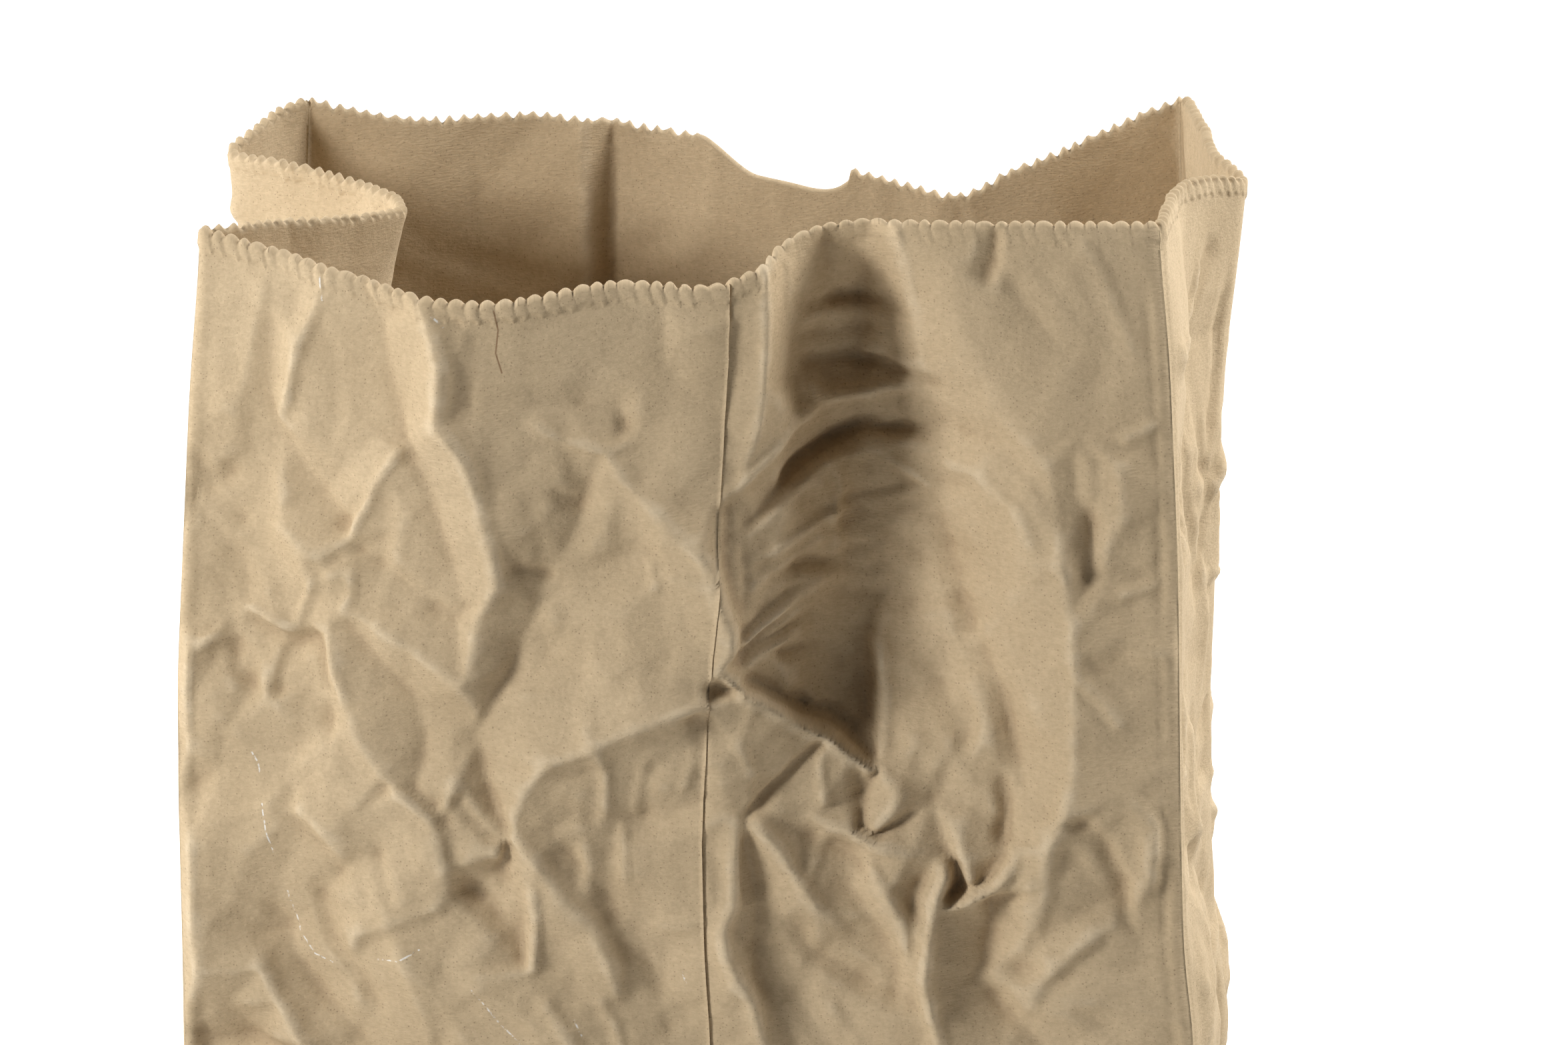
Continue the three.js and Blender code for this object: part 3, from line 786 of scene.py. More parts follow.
def add_folds(relief, folds):
    """Adds straight-sided ridges and valleys to a relief, each fading in and out along its line."""
    z, place = np.indices(relief.grid.shape) * Relief.CELL
    place = place - relief.width / 2
    for height, left, right, line in folds:
        points = np.array(line, float)
        lengths = np.linalg.norm(np.diff(points, axis=0), axis=1)
        total, passed = lengths.sum(), 0.0
        window = around(relief, points, max(left, right) + 2)
        x, y = place[window], z[window]
        closest, profile = np.full(x.shape, np.inf), np.zeros(x.shape)
        for (a0, z0), (a1, z1), length in zip(points, points[1:], lengths):
            along = np.clip(((x - a0) * (a1 - a0) + (y - z0) * (z1 - z0)) / length**2, 0, 1)
            away = np.hypot(x - a0 - along * (a1 - a0), y - z0 - along * (z1 - z0))
            side = (a1 - a0) * (y - z0) - (z1 - z0) * (x - a0)
            share = (passed + along * length) / total
            fade = smooth((share + 0.06) / 0.25) * smooth((1.06 - share) / 0.25)
            value = fade * np.clip(1 - away / np.where(side > 0, right, left), 0, 1)
            closer = away < closest
            closest = np.where(closer, away, closest)
            profile = np.where(closer, value, profile)
            passed += length
        relief.grid[window] += height * blurred(profile, 0.6)


def scatter_folds(relief, seed, count, low, high, strength):
    """Adds slanting folds between two heights, each bending a little on its way."""
    rng = np.random.default_rng(seed)
    folds = []
    for _ in range(count):
        line = [np.array([rng.uniform(-0.5, 0.5) * relief.width, rng.uniform(low, high)])]
        angle = rng.choice((-0.8, 0.8, 1.5)) + rng.normal(0, 0.5)
        for _ in range(rng.integers(2, 5)):
            angle += rng.normal(0, 0.35)
            line.append(line[-1] + rng.uniform(8, 20) * np.array([math.sin(angle), math.cos(angle)]))
        height = rng.uniform(0.6, 1.8) * rng.choice((-1, 1)) * strength
        folds.append((height, rng.uniform(2, 9), rng.uniform(2, 9), line))
    add_folds(relief, folds)


def trough(place, z):
    """The deep channel right of the seam: steep on its left side, narrower and shallower under the rim."""
    left = 27 + 9 * smooth((z - 318) / 30)
    right = 92 - 16 * smooth((z - 300) / 40)
    across = np.clip(np.minimum((place - left) / 25, (right - place) / 34), 0, 1)
    return -TROUGH_DEPTH * smooth(across) * smooth((z - 205) / 60) * (1 - 0.85 * smooth((z - 333) / 24))


RELIEFS = build_reliefs()


def edge_fade(name, u):
    """0 at a wall's own folds, 1 some millimetres inside."""
    reach = (3.5 if name in ("front", "back") else 11.0) / WALLS[name].rim.length
    return smooth(np.minimum(u, 1 - u) / reach)


# ---------------------------------------------------------------- sheets with thickness and a pinked rim

ROUND_TOOTH, POINTED_TOOTH = 0.8, 1.2  # powers that shape the front's teeth and the others
RIB_HEIGHT = 4.4  # how far down the rim's ribs reach
RIB_SLANT = -0.25
RIB_OUTSIDE, RIB_INSIDE = 0.8, 0.1
FINE = 3  # rim columns for each column below
RIM_ROWS = np.arange(5.8, -0.1, -0.5)  # below the edge
LIP = np.radians([36, 72, 108, 144])
LIP_RISE = 0.85  # of half the sheet's thickness
LIP_WEAR_AND_HIGHLIGHT = 0.25  # added to the folds' height along the lip, so the lip takes the ridges' pale wear and painted highlight
TEETH_REACH = 14  # how far below the edge the rows follow its teeth
CALM_FOOT = 12  # height over which the relief starts, above a wall's foot
INNER_FACE = np.array([0, 0, 7.0])  # sets the inner face off, so that its pulp is another
NOTCH_START, NOTCH_SPAN, NOTCH_DEPTH = 0.43, 0.18, 9.0


class Pinking:
    """The toothed, ribbed edge along one wall's rim, each tooth a little different."""

    def __init__(self, name, seed):
        rng = np.random.default_rng(seed)
        self.name = name
        self.teeth = round(WALLS[name].rim.length / TOOTH)
        self.shift = rng.normal(0, 0.10, self.teeth + 2)
        self.size = rng.uniform(0.55, 1.15, self.teeth + 2)
        self.depth = TOOTH_DEPTH.get(name, SIDE_TOOTH_DEPTH)

    def count(self, u):
        """Teeth passed at u, unevenly spaced."""
        return self.teeth * u + np.interp(self.teeth * u, np.arange(self.teeth + 2), self.shift)

    def lowered(self, u):
        """How much the edge lies below the rim line: the teeth, and the thumb notch."""
        size = np.interp(self.teeth * u, np.arange(self.teeth + 2), self.size)
        if self.name == "front":
            drop = self.depth * size * (1 - np.abs(np.sin(math.pi * self.count(u))) ** ROUND_TOOTH)
        else:
            drop = self.depth * size * np.abs(np.cos(math.pi * self.count(u))) ** POINTED_TOOTH
        if self.name == "back":
            across = np.clip((u - NOTCH_START) / NOTCH_SPAN, 0, 1)
            rounded_end = np.clip((across - 0.7) / 0.3, 0, 1) ** 2.4
            dip = NOTCH_DEPTH * smooth(across / 0.42) * np.sqrt(1 - rounded_end)
            drop = drop * (1 - notch_calm(u)) + dip
        return drop

    def rib(self, u, below):
        """Height of the pressed ribs at a distance below the edge."""
        size = np.interp(self.teeth * u, np.arange(self.teeth + 2), self.size)
        ridge = np.abs(np.sin(math.pi * (self.count(u) + RIB_SLANT * below / TOOTH))) ** 0.5
        band = smooth((RIB_HEIGHT * (0.85 + 0.25 * size) - below) / 1.8)
        return band * (0.35 + 0.6 * ridge * size) * self.strength(u)

    def strength(self, u):
        if self.name == "front":
            return 0.85 - 0.4 * smooth((u - 0.5) / 0.15)
        if self.name == "back":
            return 0.45 * (1 - notch_calm(u))
        return np.full_like(u, 0.6)


def notch_calm(u):
    """1 inside the thumb notch, where the edge is plain."""
    across = (u - NOTCH_START) / NOTCH_SPAN
    return smooth((across + 0.02) / 0.08) * smooth((1.02 - across) / 0.08)


PINKINGS = {name: Pinking(name, 70 + i) for i, name in enumerate(WALLS)}


def bell(x, middle, width):
    return np.exp(-(((x - middle) / width) ** 2))


def corner_bead(name, u, z):
    """The front right corner's round ridge with a groove beside it, and a soft hollow by the left corner."""
    if name != "front":
        return np.zeros_like(u)
    from_right, from_left = ((1 - u) * WALLS["front"].rim.length, u * WALLS["front"].rim.length)
    bead = 0.45 * bell(from_right, 1.4, 1.3) - 0.5 * bell(from_right, 4.2, 1.1)
    hollow = -0.35 * bell(from_left, 5.0, 2.0)
    return (bead * smooth(z / 30) + hollow) * smooth((354 - z) / 25)


def rolled(distance, radius):
    """0 at an edge and 1 a radius inside it, round like a quarter circle."""
    return np.sqrt(1 - np.clip(1 - distance / radius, 0, 1) ** 2)


def paper_marks(places, folds, lip=0):
    """What the paper's material reads, for rows up one face, over a lip and down the other face."""
    inner_places = [p + INNER_FACE for p in places[::-1]]
    inner_folds = [-f for f in folds[::-1]]
    return {
        "sheet_place": np.concatenate(places + [places[-1]] * lip + inner_places) * MM,
        "sheet_fold": np.concatenate(folds + [folds[-1] + LIP_WEAR_AND_HIGHLIGHT] * lip + inner_folds),
    }


def face(distance):
    """A face at one distance from the middle surface."""
    return lambda u, z: np.full_like(u, distance)


class Sheet:
    """One sheet on part of a wall, with its faces `outer` and `inner` mm outside the middle surface."""

    def __init__(self, name, low, high, outer=None, inner=None, pinked=True, top_gap=0.0):
        self.name, self.low, self.high = name, low, high
        self.outer = outer or face(THICK / 2)
        self.inner = inner or face(-THICK / 2)
        self.pinked, self.top_gap = pinked, top_gap

    def row(self, below, columns):
        """A row of the outside and one of the inside, with the place of each point on the sheet."""
        wall, pinking = WALLS[self.name], PINKINGS[self.name]
        t = 1 - below / WALL_LENGTH
        low, high = self.low(t * HEIGHT), self.high(t * HEIGHT)
        u = low + (high - low) * np.linspace(0, 1, columns)
        length = np.linalg.norm(wall.up(u, u), axis=-1)
        lowered = pinking.lowered(u) + self.top_gap
        t = np.clip(t - lowered * max(0, 1 - below / TEETH_REACH) / length, 0, 1)
        points, normal = middle_surface(self.name, u, t)
        z = points[..., 2]
        relief = RELIEFS[self.name]
        fade = edge_fade(self.name, u) * smooth(t * length / CALM_FOOT)
        place = (u - 0.5) * relief.width
        height = relief.sample(place, z, relief.grid) * fade + corner_bead(self.name, u, z)
        ribs = pinking.rib(u, np.full_like(u, below)) if self.pinked else np.zeros_like(u)
        outer_face = self.outer(u, z) * rolled(t * length, THICK)
        outer = points + normal * (height + outer_face + RIB_OUTSIDE * ribs)[..., None]
        inner = points + normal * (height + self.inner(u, z) - RIB_INSIDE * ribs)[..., None]
        fold = relief.sample(place, z, relief.folds) * fade
        return outer, inner, place, z, fold

    def mesh(self):
        """Closed mesh: rows up the outside, over the rim and down the inside."""
        wall = WALLS[self.name]
        pitch = PITCH.get(self.name, SIDE_PITCH)
        span = abs(float(self.high(HEIGHT / 2)) - float(self.low(HEIGHT / 2)))
        coarse = max(4, round(span * wall.rim.length / pitch)) + 1
        plain = np.linspace(WALL_LENGTH, RIB_HEIGHT + 2, int(WALL_LENGTH / pitch))
        below = [(b, coarse) for b in plain] + [(b, (coarse - 1) * FINE + 1) for b in RIM_ROWS]
        rows = [self.row(max(b, 0.0), columns) for b, columns in below]
        outer, inner = [r[0] for r in rows], [r[1] for r in rows]
        centre, half = (outer[-1] + inner[-1]) / 2, (outer[-1] - inner[-1]) / 2
        rise = unit(outer[-1] - outer[-2]) * np.linalg.norm(half, axis=-1, keepdims=True) * LIP_RISE
        lip = [centre + half * math.cos(angle) + rise * math.sin(angle) for angle in LIP]
        vertices, faces, ends = closed(outer + lip + inner[::-1])
        places = [np.stack([r[2], r[3], np.zeros_like(r[2])], -1) for r in rows]
        return vertices, faces, ends, paper_marks(places, [r[4] for r in rows], len(LIP))


def closed(rows):
    """Joins rows that run up one face and down the other; the last faces are the flat ends."""
    starts = np.concatenate([[0], np.cumsum([len(r) for r in rows])])
    faces = []
    for k, row in enumerate(rows):
        after = (k + 1) % len(rows)
        faces += bridge(starts[k], len(row), starts[after], len(rows[after]))
    body = len(faces)
    last = len(rows) - 1
    for end in (0, 1):
        ids = [starts[k] + (len(rows[k]) - 1) * end for k in range(len(rows))]
        for k in range(len(rows) // 2 - 1):
            quad = [ids[k], ids[last - k], ids[last - k - 1], ids[k + 1]]
            faces.append(quad if end == 0 else quad[::-1])
        if len(rows) % 2:
            k = len(rows) // 2
            tip = [ids[k - 1], ids[k + 1], ids[k]]
            faces.append(tip if end == 0 else tip[::-1])
    return np.concatenate(rows), faces, len(faces) - body


def bridge(start_a, n_a, start_b, n_b):
    """Faces between two rows, one of which may have a multiple of the other's columns."""
    if n_a == n_b:
        i = np.arange(n_a - 1)
        return np.stack([start_a + i, start_a + i + 1, start_b + i + 1, start_b + i], 1).tolist()
    faces = []
    if n_b > n_a:
        k = (n_b - 1) // (n_a - 1)
        for i in range(n_a - 1):
            fan = [start_b + i * k + j for j in range(k, -1, -1)]
            faces.append([start_a + i, start_a + i + 1, *fan])
    else:
        k = (n_a - 1) // (n_b - 1)
        for i in range(n_b - 1):
            fan = [start_a + i * k + j for j in range(k + 1)]
            faces.append([*fan, start_b + i + 1, start_b + i])
    return faces


def make_object(name, vertices, faces, material, flat_faces=0, marks=None):
    """A piece from points in mm. The last flat_faces faces are shaded flat."""
    mesh = bpy.data.meshes.new(name)
    mesh.from_pydata((vertices * MM).tolist(), [], faces)
    rounded = np.ones(len(faces), bool)
    rounded[len(faces) - flat_faces :] = False
    mesh.polygons.foreach_set("use_smooth", rounded)
    for mark, values in (marks or {}).items():
        vector = values.ndim == 2
        layer = mesh.attributes.new(mark, "FLOAT_VECTOR" if vector else "FLOAT", "POINT")
        layer.data.foreach_set("vector" if vector else "value", values.astype(np.float32).ravel())
    mesh.materials.append(material)
    mesh.update()
    mesh.calc_loop_triangles()
    corners = np.empty(3 * len(mesh.loop_triangles), np.int32)
    mesh.loop_triangles.foreach_get("vertices", corners)
    a, b, c = vertices[corners].reshape(-1, 3, 3).transpose(1, 0, 2)
    if (np.cross(a, b) * c).sum() < 0:
        mesh.flip_normals()
    piece = bpy.data.objects.new(name, mesh)
    bpy.context.scene.collection.objects.link(piece)
    return piece


# ---------------------------------------------------------------- materials

class Graph:
    """A material's node tree, built from its last node back to its first."""

    def __init__(self, name):
        self.material = bpy.data.materials.new(name)
        self.material.use_nodes = True
        self.tree = self.material.node_tree
        self.shader = self.tree.nodes["Principled BSDF"]

    def feed(self, socket, value):
        if isinstance(value, bpy.types.NodeSocket):
            self.tree.links.new(value, socket)
        else:
            socket.default_value = value

    def add(self, kind, inputs, output=0, **settings):
        node = self.tree.nodes.new(kind)
        for key, value in settings.items():
            setattr(node, key, value)
        for key, value in inputs.items():
            self.feed(node.inputs[key], value)
        return node.outputs[output]

    def mark(self, name, output):
        return self.add("ShaderNodeAttribute", {}, output, attribute_name=name)

    def noise(self, place, scale, detail=4.0, roughness=0.55):
        inputs = {"Vector": place, "Scale": scale, "Detail": detail, "Roughness": roughness}
        return self.add("ShaderNodeTexNoise", inputs)

    def spread(self, value, low, high, to_low=0.0, to_high=1.0):
        inputs = {"Value": value, "From Min": low, "From Max": high, "To Min": to_low, "To Max": to_high}
        return self.add("ShaderNodeMapRange", inputs, interpolation_type="SMOOTHSTEP")

    def math(self, operation, first, second, **settings):
        return self.add("ShaderNodeMath", {0: first, 1: second}, operation=operation, **settings)

    def vector(self, operation, inputs, output="Vector"):
        return self.add("ShaderNodeVectorMath", inputs, output, operation=operation)

    def distance(self, place, line):
        """How far a place on the sheet is from a line drawn on it, in metres."""
        closest = 1.0
        for ends in zip(line, line[1:]):
            start, end = (Vector((*point, 0)) * MM for point in ends)
            way = end - start
            off = self.vector("SUBTRACT", {0: place, 1: start})
            along = self.vector("DOT_PRODUCT", {0: off, 1: way / way.length_squared}, "Value")
            share = self.math("ADD", along, 0.0, use_clamp=True)
            passed = self.vector("SCALE", {0: way, "Scale": share})
            away = self.vector("DISTANCE", {0: off, 1: passed}, "Value")
            closest = self.math("MINIMUM", away, closest)
        return closest

    def scaled(self, value, share):
        return self.math("MULTIPLY", value, share)

    def mix(self, factor, first, second):
        """Mixes two colours: inputs 6 and 7 and output 2 are the node's colour sockets."""
        first, second = ((*c, 1) if isinstance(c, tuple) else c for c in (first, second))
        return self.add("ShaderNodeMix", {"Factor": factor, 6: first, 7: second}, 2, data_type="RGBA")

    def complete(self, colour, roughness, bump):
        self.feed(self.shader.inputs["Base Color"], colour)
        self.feed(self.shader.inputs["Roughness"], roughness)
        self.feed(self.shader.inputs["Normal"], self.add("ShaderNodeBump", bump))
        return self.material


# Colours of the paper, of what lies on it, and of the painted shade and highlight on its relief
LIGHT, DARK = (0.585, 0.45, 0.285), (0.51, 0.385, 0.235)
BOTTOM_LIGHT, BOTTOM_DARK = (0.57, 0.44, 0.28), (0.49, 0.37, 0.225)
# the hollow colour is painted shade; the worn colour is pale wear with a painted highlight
SPECK, PAINTED_HOLLOW_SHADE, WEAR_AND_HIGHLIGHT = (0.09, 0.045, 0.022), (0.20, 0.115, 0.055), (0.80, 0.68, 0.50)
CHALK, CRACK_BROWN = (0.88, 0.86, 0.82), (0.2, 0.1, 0.045)

# Marks on the front, as lines of points a, z
SCRATCHES = [
    [(-105, 223.5), (-103.5, 221), (-103, 218.5)],
    [(-102.2, 210.5), (-101.4, 204), (-99.8, 197.5)],
    [(-97.5, 187), (-96, 181), (-95, 176), (-91, 170.5), (-86, 169)],
    [(-73, 172), (-67, 173), (-62, 176)],
    [(-50, 166), (-44, 157), (-39, 151)],
    [(-88.5, 348), (-87.5, 342)],
    [(-58, 342), (-55, 339)],
    [(1, 170), (2, 166)],
    [(-26, 158), (-24, 153)],
]
CRACK = [(-43.5, 343), (-42.5, 338), (-43, 332), (-41.5, 327)]


def kraft_material(name, light, dark, scratches=(), crack=None):
    """Brown paper: mottled pulp, fibres across the web, dark specks, pale wear with a painted highlight on
    folds, painted brown shade in hollows.
    """
    graph = Graph(name)
    place = graph.mark("sheet_place", "Vector")
    stretched = graph.vector("MULTIPLY", {0: place, 1: (0.35, 1.0, 1.0)})
    fold = graph.mark("sheet_fold", "Fac")

    mottle = graph.spread(graph.noise(place, 24, 6, 0.6), 0.3, 0.7)
    pulp = graph.spread(graph.noise(place, 620, 6, 0.75), 0.34, 0.66)
    fibre = graph.spread(graph.noise(stretched, 1700, 3, 0.6), 0.35, 0.7)
    colour = graph.mix(graph.scaled(mottle, 0.75), light, dark)
    colour = graph.mix(graph.scaled(pulp, 0.38), colour, tuple(0.72 * c for c in dark))
    colour = graph.mix(graph.scaled(fibre, 0.16), colour, tuple(1.3 * c for c in light))

    cells = {"Vector": place, "Scale": 1300.0}
    distance, cell = (graph.add("ShaderNodeTexVoronoi", cells, output) for output in ("Distance", "Color"))
    chance = graph.add("ShaderNodeSeparateColor", {"Color": cell})
    speck = graph.scaled(graph.spread(distance, 0.12, 0.34, 1.0, 0.0), graph.spread(chance, 0.45, 1.0))
    colour = graph.mix(graph.scaled(speck, 0.42), colour, SPECK)

    # painted shade: where the relief sinks below its surroundings, the paper is darkened towards brown
    hollow = graph.spread(fold, -0.15, -1.3)
    # pale wear with a painted highlight: ridges of the relief, and the lip, are lightened, broken up by noise
    ridge = graph.spread(fold, 0.12, 0.9)
    wear_and_highlight = graph.scaled(ridge, graph.spread(graph.noise(place, 160, 4, 0.6), 0.35, 0.7, 0.25, 1.0))
    colour = graph.mix(graph.scaled(hollow, 0.26), colour, PAINTED_HOLLOW_SHADE)
    colour = graph.mix(graph.scaled(wear_and_highlight, 0.30), colour, WEAR_AND_HIGHLIGHT)
    broken = graph.spread(graph.noise(place, 800, 3), 0.44, 0.6)
    for line in scratches:
        mark = graph.spread(graph.distance(place, line), 0.0001, 0.0003, 0.75, 0.0)
        colour = graph.mix(graph.scaled(mark, broken), colour, CHALK)
    if crack:
        mark = graph.spread(graph.distance(place, crack), 0.0001, 0.00028, 0.7, 0.0)
        colour = graph.mix(mark, colour, CRACK_BROWN)

    graph.shader.inputs["Specular IOR Level"].default_value = 0.22
    grain = graph.math("ADD", graph.noise(place, 900, 5, 0.6), graph.scaled(fibre, 0.5))
    bump = {"Height": grain, "Strength": 0.45, "Distance": 0.0003}
    return graph.complete(colour, graph.spread(pulp, 0.0, 1.0, 0.78, 0.9), bump)


def paste_material():
    """Dried starch paste: cloudy ivory, smoother than the paper."""
    graph = Graph("dried paste")
    place = graph.add("ShaderNodeTexCoord", {}, "Object")
    cloud = graph.spread(graph.noise(place, 180, 5, 0.6), 0.3, 0.7)
    bump = {"Height": graph.noise(place, 700, 4), "Strength": 0.3, "Distance": 0.0002}
    colour = graph.mix(cloud, (0.74, 0.64, 0.43), (0.62, 0.50, 0.31))
    return graph.complete(colour, graph.spread(cloud, 0, 1, 0.45, 0.6), bump)


KRAFT = kraft_material("kraft paper", LIGHT, DARK)
KRAFT_FRONT = kraft_material("kraft paper front", LIGHT, DARK, SCRATCHES, CRACK)
KRAFT_BOTTOM = kraft_material("kraft paper bottom", BOTTOM_LIGHT, BOTTOM_DARK)
PASTE = paste_material()


# ---------------------------------------------------------------- pieces

def seam_share(z):
    """Where the lap's upper edge runs, as a share of the front's width."""
    places, heights = zip(*SEAM[::-1])
    return 0.5 + np.interp(np.asarray(z, float), heights, places) / SPAN


def seam_distance(u, z):
    """Millimetres to the right of the lap's upper edge."""
    return (u - seam_share(z)) * SPAN


def whole(value):
    """An edge of a sheet at one share of its wall's width, from foot to rim."""
    return lambda z: np.asarray(value, float) + 0 * np.asarray(z, float)


def lap_start(z):
    return seam_share(z) - LAP / SPAN


def upper_inner(u, z):
    """The left sheet thins to lie on the right one."""
    return -THICK / 2 + (THICK / 2 + 0.05) * smooth((seam_distance(u, z) + LAP + 2.5) / 2.0)


def upper_outer(u, z):
    """The left sheet rises a little over the lap."""
    return THICK / 2 + 0.1 * smooth((seam_distance(u, z) + LAP + 6) / 10)


def lower_outer(u, z):
    """The right sheet runs under the left one and steps out beside the seam, most where folds cross it."""
    right = seam_distance(u, z)
    step = 0.85 + 0.3 * smooth((z - 215) / 15) * smooth((312 - z) / 15)
    rest = THICK / 2 + 0.1 - step
    return -0.1 + step * smooth((right - 0.05) / 0.8) + rest * smooth((right - 1.0) / 13)


def add_wall(piece_name, sheet, node, material):
    vertices, faces, flat_faces, marks = sheet.mesh()
    piece = make_object(piece_name, vertices, faces, material, flat_faces, marks)
    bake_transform(piece)
    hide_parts(node)


def add_walls():
    left = Sheet("front", whole(0.0), seam_share, upper_outer, upper_inner)
    right = Sheet("front", lap_start, whole(1.0), lower_outer)
    add_wall("front_left_sheet", left, "front_panel_left", KRAFT_FRONT)
    add_wall("front_right_sheet", right, "front_panel_right", KRAFT_FRONT)
    strip = Sheet(
        "front", lambda z: lap_start(z) + 0.2 * LAP / SPAN, lambda z: lap_start(z) + 0.8 * LAP / SPAN,
        face(0.04), face(-0.09), pinked=False, top_gap=3.5,
    )
    add_wall("seam_paste", strip, "seam_paste_line", PASTE)
    others = [("back", "back", "back_panel")]
    others += [
        (f"{side}_{part}", f"{side}_pleat_{part}", f"{side}_gusset_{part}")
        for side, _ in SIDES for part in ("front", "rear")
    ]
    for name, body, node in others:
        add_wall(f"{name}_sheet", Sheet(name, whole(0.0), whole(1.0)), node, KRAFT)


add_walls()


# ---------------------------------------------------------------- side feet and bottom

GLUED_GAP = 0.02  # between layers that are pasted together
FLAP = 1.15  # thickness of a bottom flap
PASTE_DEPTH = 0.6
FRONT_FLAP_LEVEL = FLAP + PASTE_DEPTH + 2 * GLUED_GAP  # underside of the front flap, on the rear one
DAB_LEVEL = FRONT_FLAP_LEVEL + FLAP + GLUED_GAP
TUCK_LEVEL = DAB_LEVEL + PASTE_DEPTH + GLUED_GAP
OVERLAP = 20.0  # how far each long flap passes the middle
FOOT_TIP = 1.2  # from the tip of a gusset's foot down to its top row
FOOT_GAP = 0.4  # between a foot and the folds above it
FOOT_ROWS, FOOT_COLUMNS = 64, 121
TUCK_ROOT = HALF_WIDTH - 2.2
TUCK_REACH = 70.0
TUCK_HALF = HALF_DEPTH - 5
DAB_MIDDLE, DAB_HALF = HALF_WIDTH - 40, 25


def add_to_base(piece, node):
    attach(piece, "base")
    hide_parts(node)


def add_foot(side, x_sign):
    """The triangle that stands on the base below a gusset's two 45-degree folds."""
    relief = Relief(DEPTH, 90, [])
    crumple(relief, 180 + x_sign, [(34, 4.0), (15, 1.6), (7, 0.4)])
    relief.sharpen()
    relief.mark_folds()
    way = np.array([x_sign, 0, 0])
    outer, inner, places, folds = [], [], [], []
    for z in np.linspace(FOLD_LEVEL, HALF_DEPTH - FOOT_TIP, FOOT_ROWS):
        half = HALF_DEPTH - z + FOLD_LEVEL - FOOT_GAP
        y = np.linspace(-half, half, FOOT_COLUMNS)
        level = np.full_like(y, z)
        edge = (half - np.abs(y)) / math.sqrt(2)
        fade = smooth(edge / 10) * smooth((z - FOLD_LEVEL) / CALM_FOOT)
        height = relief.sample(y, level, relief.grid) * fade
        middle = np.stack([np.full_like(y, x_sign * HALF_WIDTH), y, level], -1)
        outer_face = rolled(np.minimum(edge, z - FOLD_LEVEL), THICK) * THICK / 2
        outer.append(middle + (height + outer_face)[:, None] * way)
        inner.append(middle + (height - THICK / 2)[:, None] * way)
        places.append(np.stack([y, level - 40, np.full_like(y, 20.0)], -1))
        folds.append(relief.sample(y, level, relief.folds) * fade)
    vertices, faces, flat_faces = closed(outer + inner[::-1])
    marks = paper_marks(places, folds)
    piece = make_object(f"{side}_foot_sheet", vertices, faces, KRAFT, flat_faces, marks)
    add_to_base(piece, f"{side}_gusset_foot")


BOTTOM_RELIEF = Relief(WIDTH, DEPTH, [])
crumple(BOTTOM_RELIEF, 190, [(36, 1.3), (14, 0.5), (6, 0.15)])
BOTTOM_RELIEF.mark_folds()


def bottom_wave(x, y):
    """How far the pasted layers of the bottom stand off the ground together."""
    wave = np.clip(0.35 + BOTTOM_RELIEF.sample(x, y + HALF_DEPTH, BOTTOM_RELIEF.grid), 0, 1.1)
    return wave * smooth((HALF_WIDTH - 3 - np.abs(x)) / 9) * smooth((HALF_DEPTH - 3 - np.abs(y)) / 9)


def add_layer(name, node, material, slot, y_low, y_high, x_low, x_high, level, thick):
    """A layer of the bottom between two long edges. Its underside and thickness are level and thick."""
    step, ends = 1.4, np.array([0, 0.12, 0.35, 0.7])
    between = np.arange(y_low + step, y_high - step, step)
    rows = np.concatenate([y_low + ends, between, y_high - ends[::-1]])[::-1]
    columns = max(3, round(max(x_high(y) - x_low(y) for y in rows) / 1.5))
    under, over, places, folds = [], [], [], []
    for y in rows:
        low, high = x_low(y), x_high(y)
        inner = np.linspace(low + step, high - step, columns)
        x = np.concatenate([low + ends, inner, high - ends[::-1]])
        row = np.full_like(x, y)
        edge = np.minimum(np.minimum(x - low, high - x), min(y - y_low, y_high - y))
        half = 0.5 * thick(x, row)
        bulge = half * rolled(edge, 0.5) * 0.7 + half * 0.3
        middle = level(x, row) + bottom_wave(x, row) + half
        under.append(np.stack([x, row, middle - bulge], -1))
        over.append(np.stack([x, row, middle + bulge], -1))
        places.append(np.stack([x, row, np.full_like(x, 40.0)], -1))
        folds.append(-BOTTOM_RELIEF.sample(x, row + HALF_DEPTH, BOTTOM_RELIEF.folds))
    vertices, faces, flat_faces = closed(under + over[::-1])
    marks = paper_marks(places, folds)
    add_to_base(make_object(name, vertices, faces, material, flat_faces, marks), node)


def thinned(x, y):
    """A flap thins out where it runs under the feet of the walls."""
    edge = np.minimum(HALF_WIDTH - np.abs(x), HALF_DEPTH - np.abs(y))
    return FOLD_LEVEL - 0.05 + (FLAP - FOLD_LEVEL + 0.05) * smooth((edge - 1.5) / 1.5)


def climb(y):
    """How far the front flap has climbed onto the rear one, from 0 to 1."""
    return smooth((y + OVERLAP + 7) / 5.5)


def straight(x):
    """A layer's edge at one x."""
    return lambda y: x


def even(height):
    """A level or a thickness that is the same everywhere."""
    return lambda x, y: height + 0 * x


